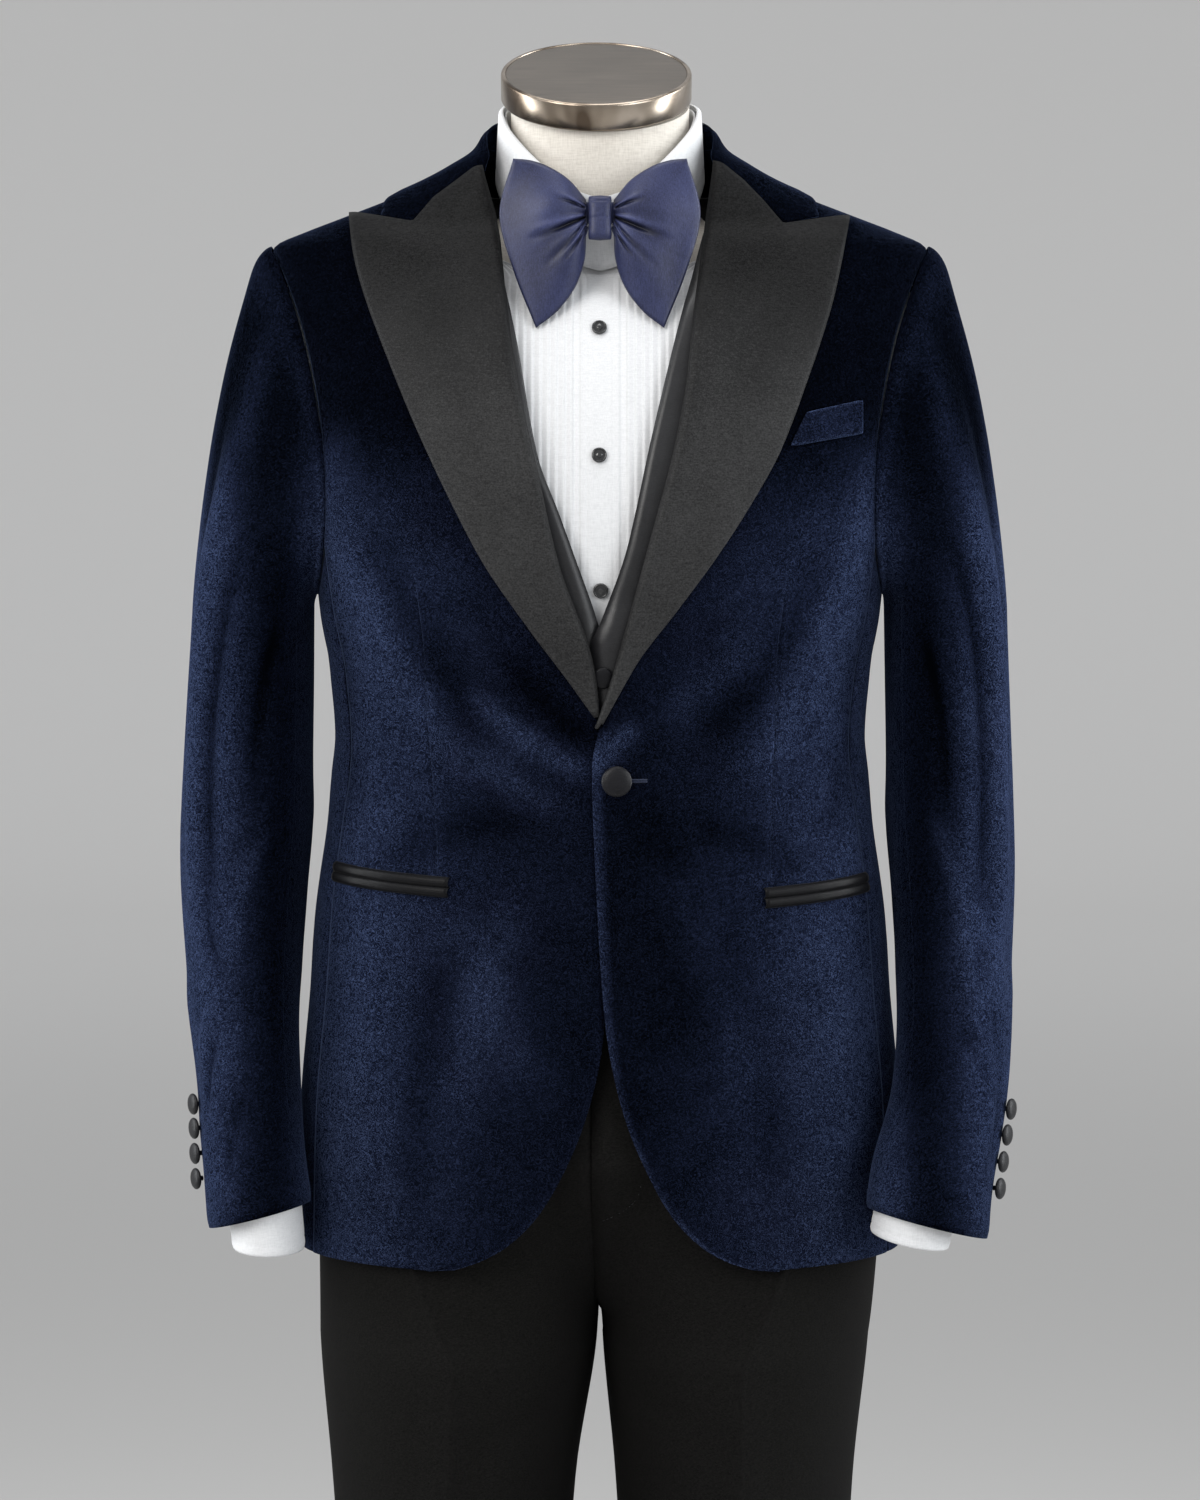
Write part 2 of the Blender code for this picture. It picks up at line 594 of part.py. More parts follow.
# ---- buttons ----------------------------------------------------------------------------------
def turned_mesh(name, profile, sides):
    """Closed turned solid about Z from (radius, height) pairs that start and end on the axis."""
    mesh = bpy.data.meshes.new(name)
    work = bmesh.new()
    bottom = work.verts.new((0, 0, profile[0][1] * MM))
    top = work.verts.new((0, 0, profile[-1][1] * MM))
    rings = []
    for radius, height in profile[1:-1]:
        ring = []
        for i in range(sides):
            a = 2 * math.pi * i / sides
            ring.append(work.verts.new((radius * MM * math.cos(a), radius * MM * math.sin(a),
                                        height * MM)))
        rings.append(ring)
    for lower, upper in zip(rings, rings[1:]):
        for i in range(sides):
            j = (i + 1) % sides
            work.faces.new((lower[i], lower[j], upper[j], upper[i]))
    for i in range(sides):
        j = (i + 1) % sides
        work.faces.new((bottom, rings[0][j], rings[0][i]))
        work.faces.new((top, rings[-1][i], rings[-1][j]))
    work.to_mesh(mesh)
    work.free()
    mesh.shade_smooth()
    return mesh


def aim(point, normal):
    """Placement that turns a piece's +Z to the normal."""
    turned = Vector(normal).to_track_quat("Z", "Y").to_matrix().to_4x4()
    return Matrix.Translation(Vector(point) * MM) @ turned


def covered_button_profile(radius, stand):
    return ((0, 0), (radius * 0.28, 0), (radius * 0.28, stand), (radius * 0.9, stand + 0.3),
            (radius, stand + 1.5), (radius * 0.72, stand + 3.2), (0, stand + 3.7))


def make_button(name, point, normal, radius, stand, sides=10, material="lapel_satin"):
    mesh = turned_mesh(name, covered_button_profile(radius, stand), sides)
    obj = add_object(name, mesh, material)
    obj.matrix_world = aim(point, normal)
    return obj


def figure_normal(turn, height, out):
    """Outward normal of the figure, from its neighbours round and above."""
    across = figure(turn + 1, height, out) - figure(turn - 1, height, out)
    up = figure(turn, height + 4, out) - figure(turn, height - 4, out)
    return across.cross(up).normalized()


def make_sleeve_buttons(side):
    rings = sleeve_rings(side)
    for number, height in enumerate(SLEEVE_BUTTON_HEIGHTS, 1):
        point = ring_point(rings, SLEEVE_BUTTON_TURN, height, 0)
        face = math.radians(SLEEVE_BUTTON_FACE)
        normal = Vector((math.cos(face), -math.sin(face), 0))
        place = point + Vector((GAP + 0.6, 0, 0))
        place.x *= side
        normal.x *= side
        make_button("sleeve_button_" + side_name(side) + "_" + str(number), place, normal,
                    SLEEVE_BUTTON_RADIUS, SLEEVE_BUTTON_STAND, sides=8)


def make_coat_button():
    x, height = COAT_BUTTON_PLACE
    turn = turn_at(x, height)
    out = COAT_WALL + overlap_lift(1, x, height) + GAP
    make_button("coat_button", figure(turn, height, out), figure_normal(turn, height, out),
                COAT_BUTTON_RADIUS, 1.6, sides=12)


# ---- pockets ----------------------------------------------------------------------------------
def make_hip_pocket(side):
    """Two satin lips with a groove between them, as one strip on the coat's front."""
    profile = ((-1.0, 0.0), (-0.75, 0.9), (-0.2, 0.9), (0.0, -0.8), (0.2, 0.9), (0.75, 0.9),
               (1.0, 0.0))
    pocket = LEFT_HIP_POCKET if side > 0 else RIGHT_HIP_POCKET
    columns = 9
    grid = []
    for place, rise in profile:
        row = []
        for i in range(columns + 1):
            k = i / columns
            turn = mix(pocket.front_turn, pocket.back_turn, k)
            height = mix(pocket.front_height, pocket.back_height, k) + place * POCKET_HALF_HEIGHT
            row.append(figure(turn, height, COAT_WALL + 1.2 + rise))
        grid.append(row)
    wall("hip_pocket_" + side_name(side), grid, 1.0, "lapel_satin", side=side)


def make_breast_pocket():
    columns, rows = 5, 2
    grid = []
    for j in range(rows + 1):
        row = []
        for i in range(columns + 1):
            k = i / columns
            rise = mix(-1, 1, j / rows) * BREAST_POCKET_HALF_HEIGHT
            height = mix(*BREAST_POCKET_HEIGHTS, k) + rise
            x = mix(*BREAST_POCKET_X, k) + BREAST_POCKET_SLANT * rise * (1 - k)
            row.append(figure(turn_at(x, height), height, COAT_WALL + 0.7))
        grid.append(row)
    wall("breast_pocket_welt", grid, WELT_WALL, "velvet")


# ---- waistcoat ----------------------------------------------------------------------------------
def waistcoat_outer_turn(height):
    """Side seam, then a deep armhole that ends at the strap on the shoulder."""
    return min(armhole_turn(height, WAISTCOAT_ARMHOLE), WAISTCOAT_SIDE_TURN)


def waistcoat_overlap(side, x, height):
    if side < 0:
        return 0.0
    low, high = WAISTCOAT_OVERLAP_END
    return WAISTCOAT_OVERLAP_LIFT * (1 - ease(12, 50, x)) * (1 - ease(low, high, height))


def make_waistcoat_front(side):
    edge = LEFT_WAISTCOAT_EDGE if side > 0 else RIGHT_WAISTCOAT_EDGE
    columns = 7
    grid = []
    for height in WAISTCOAT_ROWS:
        first = turn_at(read_table(edge, height)[0], height)
        last = waistcoat_outer_turn(height) - seam_step(height)
        row = []
        for i in range(columns + 1):
            turn = mix(first, last, i / columns)
            x = figure(turn, height).x
            out = WAISTCOAT_IN + waistcoat_overlap(side, x, height)
            row.append(figure(turn, height, out))
        grid.append(row)
    wall("waistcoat_front_" + side_name(side), grid, WAISTCOAT_WALL, "waistcoat_satin",
         side=side)


def make_waistcoat_back():
    grid = []
    for height in (1050, 1125, 1210, 1300, 1364, 1440, 1520, 1560, 1583, 1603):
        first = 180 - waistcoat_outer_turn(height) + seam_step(height)
        if height < WAISTCOAT_ARMHOLE.height:
            first = max(first - 2 * (90 - WAISTCOAT_SIDE_TURN), WAISTCOAT_SIDE_TURN + 0.2)
        turns = spread(first, 360 - first, 12)
        grid.append([figure(turn, height, WAISTCOAT_IN) for turn in turns])
    wall("waistcoat_back", grid, WAISTCOAT_WALL, "waistcoat_satin")


def make_waistcoat_buttons():
    for number, height in enumerate(WAISTCOAT_BUTTON_HEIGHTS, 1):
        out = WAISTCOAT_IN + WAISTCOAT_WALL + waistcoat_overlap(1, 2, height) + 2 * GAP
        mesh = turned_mesh("waistcoat_button", ((0, 0), (WAISTCOAT_BUTTON_RADIUS * 0.8, 0),
                                                (WAISTCOAT_BUTTON_RADIUS, 0.5),
                                                (WAISTCOAT_BUTTON_RADIUS * 0.6, 1.3),
                                                (0, 1.4)), 10)
        obj = add_object("waistcoat_button_" + str(number), mesh, "waistcoat_satin")
        obj.matrix_world = aim(figure(turn_at(2, height), height, out),
                               figure_normal(0, height, out))


# ---- shirt --------------------------------------------------------------------------------------
def shirt_outer_turn(height):
    """Side seam, then armhole, then shoulder seam."""
    turn = armhole_turn(height, SHIRT_ARMHOLE)
    return (min(turn, 90) if height > SHIRT_ARMHOLE.height else turn) - seam_step(height)


def shirt_front_point(turn, height):
    """Point of the front; near the middle its upper rows dip to the neckline."""
    x = abs(figure(turn, height, SHIRT_IN).x)
    rise = max(height - SHIRT_NECK_START, 0)
    dip = rise * (1 - SHIRT_NECK_SQUEEZE) * (1 - ease(30, 90, x))
    return figure(turn, height - dip, SHIRT_IN)


def make_shirt_front():
    grid = []
    for height in SHIRT_ROWS:
        last = shirt_outer_turn(height)
        grid.append([shirt_front_point(turn, height) for turn in spread(-last, last, 14)])
    wall("shirt_front", grid, SHIRT_WALL, "shirt_cotton")


def make_shirt_back():
    grid = []
    for height in SHIRT_ROWS:
        first = 180 - shirt_outer_turn(height)
        turns = spread(first, 360 - first, 10)
        grid.append([figure(turn, height, SHIRT_IN) for turn in turns])
    wall("shirt_back", grid, SHIRT_WALL, "shirt_cotton")


def neck_point(turn, height, out):
    """Point round the leaning neck."""
    a = math.radians(turn)
    centre_y = read_table(NECK_RINGS_BY_HEIGHT, height)[2]
    return Vector(((NECK_HALF_WIDTH + out) * math.sin(a),
                   centre_y - (NECK_HALF_DEPTH + out + 2) * math.cos(a), height))


NECK_RINGS_BY_HEIGHT = tuple((ring.height, ring.half_width, ring.half_depth, ring.centre_y)
                             for ring in NECK_RINGS)


def collar_row(turn):
    return read_table(SHIRT_COLLAR, abs(turn))


def make_shirt_collar():
    """Stand round the neck and a leaf folded over it."""
    stand = [[], [], []]
    for turn in spread(-178, 178, 20):
        top, _ = collar_row(turn)
        for j, row in enumerate(stand):
            height = top - COLLAR_STAND_HEIGHT * (1 - j / 2)
            row.append(neck_point(turn, height, mix(2.2, 1.0, j / 2)))
    wall("shirt_collar_stand", stand, SHIRT_WALL, "shirt_cotton")
    leaf = [[], [], []]
    for turn in spread(14, 346, 20):
        local = turn if turn <= 180 else turn - 360
        top, bottom = collar_row(local)
        for j, row in enumerate(leaf):
            height = mix(bottom, top + 0.5, j / 2)
            row.append(neck_point(turn, height, mix(7.8, 5.2, j / 2)))
    wall("shirt_collar_leaf", leaf, SHIRT_WALL, "shirt_cotton")


def make_shirt_sleeve(side):
    """Plain sleeve inside the coat's, from the armhole to the cuff, in two lengths."""
    cuff = LEFT_CUFF if side > 0 else RIGHT_CUFF
    rings = [Ring(cuff.top + 2, cuff.centre_x, cuff.centre_y, cuff.half_width + 1,
                  cuff.half_depth + 1)]
    for ring in sleeve_rings(side)[2:]:
        inset = SHIRT_SLEEVE_INSET + SHIRT_SLEEVE_TOP_INSET * ease(1250, 1318, ring.height)
        rings.append(Ring(ring.height, ring.centre_x, ring.centre_y, ring.half_width - inset,
                          ring.half_depth - inset - 1))
    angles = spread(-180, 180, 10)[:-1]
    grid = [[ring_point(rings, angle, ring.height, 0) for angle in angles] for ring in rings]
    for k in (0.5, 1.0):
        grid.append([sleeve_head_point(rings, angle, k, 0, SHIRT_IN + SHIRT_WALL + 1.5,
                                       SHIRT_ARMHOLE) for angle in angles])
    for row, ring in zip(grid, rings):
        for point in row:
            point.z = ring.height
    join = [low.lerp(high, SHIRT_SLEEVE_JOIN) for low, high in zip(grid[2], grid[3])]
    lower = grid[:3] + [[point - Vector((0, 0, 0.3)) for point in join]]
    upper = [[point + Vector((0, 0, 0.3)) for point in join]] + grid[3:]
    for part, rows in (("lower", lower), ("upper", upper)):
        wall("shirt_sleeve_" + part + "_" + side_name(side), rows, SHIRT_WALL, "shirt_cotton",
             closed=True, side=side)


def make_cuff(side):
    cuff = LEFT_CUFF if side > 0 else RIGHT_CUFF
    grid = []
    for height in (cuff.bottom, mix(cuff.bottom, cuff.top, 0.5), cuff.top):
        row = []
        for angle in spread(-180, 180, 16)[:-1]:
            a = math.radians(angle)
            reach = cuff.half_width * math.sin(a)
            low = (cuff.top - height) / (cuff.top - cuff.bottom)
            x = cuff.centre_x - cuff.lean * low + reach
            y = cuff.centre_y - cuff.half_depth * math.cos(a)
            row.append((x, y, height - cuff.slope * reach * low))
        grid.append(row)
    wall("shirt_cuff_" + side_name(side), grid, CUFF_WALL, "shirt_cotton", closed=True,
         side=side, outward=False)


def make_studs():
    for number, (x, height) in enumerate(STUD_PLACES, 1):
        out = SHIRT_IN + SHIRT_WALL + GAP
        radius = STUD_RADIUS
        mesh = turned_mesh("stud", ((0, 0), (radius * 0.8, 0), (radius, 0.8),
                                    (radius * 0.9, 1.7), (radius * 0.6, 1.7),
                                    (radius * 0.45, 1.2), (0, 1.2)), 10)
        obj = add_object("shirt_stud_" + str(number), mesh, "stud_black")
        obj.matrix_world = aim(figure(turn_at(x, height), height, out),
                               figure_normal(0, height, out))


# ---- bow tie ------------------------------------------------------------------------------------
def bow_base(height):
    """Depth of the bow's back at a height."""
    return BOW_BASE_Y + BOW_LEAN * (height - BOW_BOTTOM[-1][1])


def bow_point(u, v):
    """Point of a bow wing: u from the knot to the side, v from the lower to the upper edge."""
    bottom, top = along(BOW_BOTTOM, u), along(BOW_TOP, u)
    side = along(BOW_SIDE, v)
    inner = (BOW_BOTTOM[0][0], mix(BOW_BOTTOM[0][1], BOW_TOP[0][1], v))
    corners = [mix(mix(BOW_BOTTOM[0][c], BOW_BOTTOM[-1][c], u),
                   mix(BOW_TOP[0][c], BOW_TOP[-1][c], u), v) for c in (0, 1)]
    x, z = [mix(bottom[c], top[c], v) + mix(inner[c], side[c], u) - corners[c] for c in (0, 1)]
    pleat = math.cos(2 * math.pi * (BOW_PLEATS * v - 0.5)) * BOW_PLEAT_DEPTH
    fullness = 7 * math.sin(math.pi * min(u * 1.15, 1.0)) * math.sin(math.pi * v) ** 0.5
    y = bow_base(z) - 3 - fullness - pleat * 0.5 * (1 - u) ** 1.5
    return Vector((x, y, z))


def make_bow():
    columns, rows = 7, 9
    for side in (1, -1):
        grid = [[bow_point(i / columns, j / rows) for i in range(columns + 1)]
                for j in range(rows + 1)]
        wall("bow_wing_" + side_name(side), grid, BOW_WALL, "bow_satin", side=side,
             outward=False)
    bpy.ops.mesh.primitive_cube_add(size=1)
    knot = bpy.context.object
    knot.name = "bow_knot"
    depth = 11
    knot.data.transform(Matrix.Diagonal((2 * KNOT_HALF_WIDTH * MM, depth * MM,
                                         (KNOT_TOP - KNOT_BOTTOM) * MM, 1)))
    middle = (KNOT_TOP + KNOT_BOTTOM) / 2
    knot.location = Vector((0, bow_base(middle) - 4, middle)) * MM
    bevel = knot.modifiers.new("Rounded", "BEVEL")
    bevel.width = 2.5 * MM
    bevel.segments = 2
    knot.data.materials.append(own_material("bow_satin"))
    for collection in list(knot.users_collection):
        collection.objects.unlink(knot)
    PARTS.objects.link(knot)
    band = [[], []]
    for turn in spread(-176, 176, 20):
        top, _ = collar_row(turn)
        middle = top - 12
        for j, row in enumerate(band):
            height = middle + mix(-1, 1, j) * BOW_BAND_HALF_HEIGHT
            row.append(neck_point(turn, height, 3.4))
    wall("bow_band", band, 1.0, "bow_satin")


# ---- trousers -----------------------------------------------------------------------------------
def leg_point(rings, turn, height):
    """Point of a leg's section; turn -90 is the inseam and 90 the outer seam."""
    centre_x, centre_y, half_width, half_depth = read_table(rings, height)
    a = math.radians(turn)
    x = centre_x + half_width * power(math.sin(a), 2 / LEG_ROUNDNESS)
    y = centre_y - half_depth * power(math.cos(a), 2 / LEG_ROUNDNESS)
    for crease in (0, 180):
        near = math.exp(-((turn - crease) / CREASE_TURN) ** 2)
        y += (-1 if crease == 0 else 1) * CREASE_DEPTH * near
    return Vector((max(x, SEAM), y, height))


def hip_point(turn, height):
    """Point of the trousers above the fork; turn 0 is the front and 90 the outer seam."""
    inset = read_table(TROUSER_SIDE, height)[0]
    point = figure(turn, max(height, COAT_SECTIONS[0].height), -inset)
    point.z = height
    point.x = max(point.x, SEAM)
    return point


def trouser_point(rings, u, height, front):
    """u runs from the fork seam or inseam (0) to the outer seam (1)."""
    leg_turn, hip_turn = mix(-90, 90, u), 90 * u
    if not front:
        leg_turn, hip_turn = 180 - leg_turn, 180 - hip_turn
    if height >= FORK_TOP:
        return hip_point(hip_turn, height)
    if height <= CROTCH:
        return leg_point(rings, leg_turn, height)
    k = ((height - CROTCH) / (FORK_TOP - CROTCH)) ** 0.7
    return leg_point(rings, leg_turn, height).lerp(hip_point(hip_turn, height), k)


def make_trouser_panels(side):
    columns = 8
    step = 0.002
    rings = LEFT_LEG_RINGS if side > 0 else RIGHT_LEG_RINGS
    for front in (True, False):
        stops = spread(step, 1 - step, columns)
        if not front:
            stops = list(reversed(stops))
        grid = [[trouser_point(rings, u, height, front) for u in stops]
                for height in TROUSER_ROWS]
        for row in grid:
            for place, point in zip(stops, row):
                gap = SEAM / 2 if front else -SEAM / 2
                if place > 0.99 or (place < 0.01 and point.z <= CROTCH + 1):
                    point.y -= gap
        name = "trouser_front_" if front else "trouser_back_"
        wall(name + side_name(side), grid, TROUSERS_WALL, "trouser_wool", side=side)


def make_waistband():
    grid = [[figure(turn, height, WAISTBAND_IN) for turn in spread(1, 359, 20)]
            for height in (WAISTBAND_BOTTOM, WAISTBAND_TOP)]
    wall("waistband", grid, TROUSERS_WALL, "trouser_wool")


# ---- dress form and stand -----------------------------------------------------------------------
def make_form():
    """Linen-covered torso with a leaning neck, closed below and under the cap."""
    sides = 20
    turns = [360 * i / sides for i in range(sides)]
    rows = []
    top = 1560
    for j in range(FORM_RINGS):
        height = mix(FORM_BOTTOM, top, j / (FORM_RINGS - 1))
        rows.append([figure(turn, height, FORM_IN) - Vector((0, 0, 8 * ease(1500, 1560, height)))
                     for turn in turns])
    for ring in NECK_RINGS:
        lean = Matrix.Rotation(math.radians(ring.tilt), 3, "X")
        row = []
        for turn in turns:
            a = math.radians(turn)
            flat = Vector((ring.half_width * math.sin(a), -ring.half_depth * math.cos(a), 0))
            row.append(lean @ flat + Vector((0, ring.centre_y, ring.height)))
        rows.append(row)
    mesh = loft_mesh("form", rows, closed=True, caps=True)
    add_object("dress_form", mesh, "linen")


def make_cap():
    bpy.ops.mesh.primitive_cylinder_add(vertices=32, radius=CAP_RADIUS * MM,
                                        depth=CAP_HEIGHT * MM)
    cap = bpy.context.object
    cap.name = "neck_cap"
    lean = Matrix.Rotation(math.radians(CAP_TILT), 4, "X")
    up = Matrix.Translation(Vector((0, 0, (CAP_HEIGHT / 2 + GAP) * MM)))
    cap.matrix_world = Matrix.Translation(Vector(CAP_CENTRE) * MM) @ lean @ up
    bevel = cap.modifiers.new("Rounded", "BEVEL")
    bevel.width = CAP_BEVEL * MM
    bevel.segments = 2
    bevel.limit_method = "ANGLE"
    adopt(cap, "steel")


def adopt(obj, material):
    """Move a primitive into the parts' collection with its material."""
    obj.data.materials.append(own_material(material))
    obj.data.shade_smooth()
    obj.data.set_sharp_from_angle(angle=math.radians(35))
    for collection in list(obj.users_collection):
        collection.objects.unlink(obj)
    PARTS.objects.link(obj)


def make_stand():
    bpy.ops.mesh.primitive_cylinder_add(vertices=40, radius=BASE_RADIUS * MM,
                                        depth=BASE_HEIGHT * MM,
                                        location=(0, 0, BASE_HEIGHT / 2 * MM))
    base = bpy.context.object
    base.name = "stand_base"
    bevel = base.modifiers.new("Rounded", "BEVEL")
    bevel.width = 3 * MM
    bevel.segments = 1
    bevel.limit_method = "ANGLE"
    adopt(base, "stand_steel")
    bottom, top = BASE_HEIGHT + GAP, FORM_BOTTOM - GAP
    for side in (1, -1):
        bpy.ops.mesh.primitive_cylinder_add(
            vertices=16, radius=POST_RADIUS * MM, depth=(top - bottom) * MM,
            location=(side * POST_X * MM, 0, (top + bottom) / 2 * MM))
        post = bpy.context.object
        post.name = "stand_post_" + side_name(side)
        adopt(post, "stand_steel")


def build():
    make_form()
    make_cap()
    make_stand()
    make_shirt_front()
    make_shirt_back()
    make_shirt_collar()
    make_studs()
    make_bow()
    make_waistcoat_back()
    make_waistcoat_buttons()
    make_waistband()
    make_collar()
    make_breast_pocket()
    make_coat_button()
    for side in (1, -1):
        make_shirt_sleeve(side)
        make_cuff(side)
        make_waistcoat_front(side)
        make_trouser_panels(side)
        make_coat_front(side)
        make_coat_side(side)
        make_coat_back(side)
        make_lapel(side)
        make_sleeve(side)
        make_sleeve_buttons(side)
        make_hip_pocket(side)


clear_scene()
PARTS = make_collection("dinner_suit")
build()
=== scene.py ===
"""Looks of the dinner suit on its dress form: cloth with its folds, stitching, metal and light.

The scene is in metres and the CAD's own frame; the tables and lengths below are millimetres.
Every garment follows the same figure as its solid: "turn" goes round it in degrees, 0 in front,
90 at the side, 180 behind.  A piece of one side is laid out on the left and mirrored for the
right.  In a grid, u runs along the columns and v up the rows, both from 0 to 1.
"""
import math
from collections import namedtuple

import bpy
import numpy as np
from mathutils import Matrix, Vector


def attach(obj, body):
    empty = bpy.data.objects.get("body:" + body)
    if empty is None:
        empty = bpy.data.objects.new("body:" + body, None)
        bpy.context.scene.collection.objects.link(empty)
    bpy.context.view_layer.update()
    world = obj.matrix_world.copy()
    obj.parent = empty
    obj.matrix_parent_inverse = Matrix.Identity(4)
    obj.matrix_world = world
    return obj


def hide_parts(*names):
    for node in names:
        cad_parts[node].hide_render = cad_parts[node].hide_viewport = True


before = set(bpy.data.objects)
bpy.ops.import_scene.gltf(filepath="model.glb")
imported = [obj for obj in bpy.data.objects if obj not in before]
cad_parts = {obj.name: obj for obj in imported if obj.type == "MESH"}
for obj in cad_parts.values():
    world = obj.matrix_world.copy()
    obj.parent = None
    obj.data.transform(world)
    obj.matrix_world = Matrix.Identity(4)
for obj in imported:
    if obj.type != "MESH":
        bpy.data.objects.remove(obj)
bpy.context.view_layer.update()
MM = 0.001
LEFT, MIDDLE, RIGHT = 1, 0, -1                       # the wearer's own sides
SIDES = {LEFT: "_left", MIDDLE: "", RIGHT: "_right"}
MIRROR = np.array([-1.0, 1.0, 1.0])
MATERIALS = {}

# ---- the figure and the garments' edges, as in the CAD -------------------------------------
ROUNDNESS, ARMHOLE_ROUNDNESS, LEG_ROUNDNESS = 2.35, 2.4, 2.1
COAT_SECTIONS = (          # height, half width, half depth, centre y
    (880, 205, 136, 2), (985, 202, 134, 2), (1060, 195, 129, 2), (1125, 190, 123, 2),
    (1175, 183, 117, 0), (1228, 177.5, 113, -2), (1275, 181, 116, -3), (1320, 188, 121, -3),
    (1370, 194, 125, -2), (1420, 200, 123, 1), (1470, 208, 115, 5), (1515, 215, 101, 9),
    (1545, 219, 84, 12), (1560, 218, 74, 13), (1569, 199, 69, 14), (1579, 173, 66, 14),
    (1590, 144, 64, 14), (1600, 118, 63, 13), (1610, 98, 64, 12), (1622, 80, 67, 9),
    (1645, 71.5, 69, 6),
)
SHOULDER_START, SHOULDER_FULL, SHOULDER_LIFT = 1515, 1560, 0.9
WAISTCOAT_IN, WAISTBAND_IN, SHIRT_IN, FORM_IN = -8.0, -12.6, -16.0, -25.0
COAT_HEM, COAT_NECK, COAT_STAND_TOP, SHIRT_HEM = 887, 1611, 1627, 985
FRONT_SEAM, BACK_SEAM = 68, 112                      # turns of the side panel's edges
COAT_ARMHOLE = (1444, 114, 27.5)                     # height, half height, half turn
SHIRT_ARMHOLE = (1444, 99, 22)
WAISTCOAT_ARMHOLE = (1434, 144, 37)
FRONT_EDGE = (             # height, x on the left, x on the right
    (887, 118, 114), (889, 100, 96), (894, 84, 80), (905, 66, 61), (924, 48, 42), (950, 33, 26),
    (985, 18, 11), (1028, 7, 0), (1068, 2, -4), (1133, -2, -9), (1217, -5, -11),
    (1238, -2, -6), (1258, 4, 0), (1303, 16, 11), (1355, 30, 28), (1421, 47, 43),
    (1465, 55, 52), (1513, 60, 60), (1550, 66, 64), (1587, 70, 70), (1611, 72, 74),
)
EDGE_COLUMN = {LEFT: 0, RIGHT: 1}
OVERLAP_LIFT, OVERLAP_NEAR, OVERLAP_FAR = 3.4, 16, 62
OVERLAP_HEIGHTS = (985, 1046, 1262, 1310)
LAPEL_OUT, LAPEL_ROLL_STAND, LAPEL_PEAK_OUT = 2.9, 2.2, 2.2
LAPEL_FOLD = {             # x, height, as in the two tables after it
    LEFT: ((-2, 1244), (9, 1275), (26, 1340), (39, 1390), (48, 1426), (56, 1470), (61, 1520),
           (66, 1553), (70, 1587), (72, 1611)),
    RIGHT: ((1, 1252), (8, 1295), (27, 1350), (42, 1418), (53, 1468), (61, 1527), (66, 1567),
            (72, 1594), (75, 1608)),
}
LAPEL_SIDE = {
    LEFT: ((1, 1248), (23, 1288), (49, 1322), (73, 1355), (96, 1390), (116, 1426), (137, 1481),
           (149, 1519), (156.5, 1548), (162.5, 1577)),
    RIGHT: ((3, 1252), (19, 1275), (43, 1307), (72, 1349), (94, 1390), (116, 1436), (133, 1476),
            (150, 1521), (159, 1549), (163.5, 1579.5)),
}
LAPEL_TOP = {
    LEFT: ((72, 1611), (90, 1598), (104, 1585), (118, 1569.5), (141, 1573.5), (162.5, 1577)),
    RIGHT: ((75, 1608), (91, 1597), (106, 1587), (120.5, 1571), (143, 1575.5), (163.5, 1579.5)),
}
COLLAR_STATIONS = (        # turn, fold height, edge height
    (57, 1618, 1582), (69, 1625, 1588), (81, 1632, 1592), (93, 1637, 1595), (106, 1642, 1595),
    (120, 1646, 1594), (135, 1650, 1592), (150, 1652, 1590), (165, 1653, 1589),
    (180, 1654, 1588),
)
COLLAR_GORGE = ((75, 1609), (92, 1596.5), (107, 1586), (121, 1571.5), (144, 1578))
SLEEVE = {                 # height, centre x, centre y, half width, half depth
    LEFT: ((917, 216, -108, 41, 46), (950, 220, -98, 40, 50), (1000, 233, -66, 38, 54),
           (1060, 239, -32, 38, 58), (1120, 240, -8, 40, 62), (1180, 238, 5, 42, 66),
           (1250, 236, 9, 42, 70), (1318, 234, 8, 41, 76)),
    RIGHT: ((917, 227, -78, 35, 50), (950, 231, -68, 34, 52), (1000, 235, -48, 34, 55),
            (1060, 241, -24, 37, 58), (1120, 242, -6, 41, 62), (1180, 240, 5, 43.5, 66),
            (1250, 238, 9, 43, 70), (1318, 235, 8, 41, 76)),
}
SLEEVE_FRONT_SEAM, SLEEVE_BACK_SEAM = -52, 128       # angles in the sleeve's own section
CUFF_DROP_SIDE, CUFF_DROP_BACK, CUFF_SLOPE_HEIGHT = 0.26, 0.10, 1000
SLEEVE_BUTTON_HEIGHTS, SLEEVE_BUTTON_ANGLE = (946, 960, 974, 988), 86
HIP_POCKET = {LEFT: (30.5, 1132.0), RIGHT: (27.5, 1139.3)}    # front end: turn, height
HIP_POCKET_BACK, HIP_POCKET_RISE = 66.5, 5
WAISTCOAT_EDGE = {         # height, x
    LEFT: ((1040, 22), (1060, 0), (1120, -7), (1295, -7), (1315, 1), (1354, 16), (1385, 24),
           (1430, 34), (1494, 50), (1531, 60), (1564, 68), (1609, 84)),
    RIGHT: ((1040, 22), (1060, 2), (1120, -7), (1280, -7), (1315, 2), (1356, 17), (1385, 28),
            (1421, 42), (1494, 56), (1531, 64), (1564, 70), (1609, 84)),
}
WAISTCOAT_LAP = 3.3                                  # the left front lies over the right
WAISTCOAT_BUTTON_HEIGHTS = (1277, 1215, 1153)
STUDS = ((-0.5, 1505.0), (-0.5, 1422.0), (0.5, 1334.0))       # x, height
NECK_CENTRES = ((1570, 12), (1590, 9), (1612, 5), (1640, 2), (1656, 1))   # height, y
NECK_HALF_WIDTH, NECK_HALF_DEPTH = 62, 60
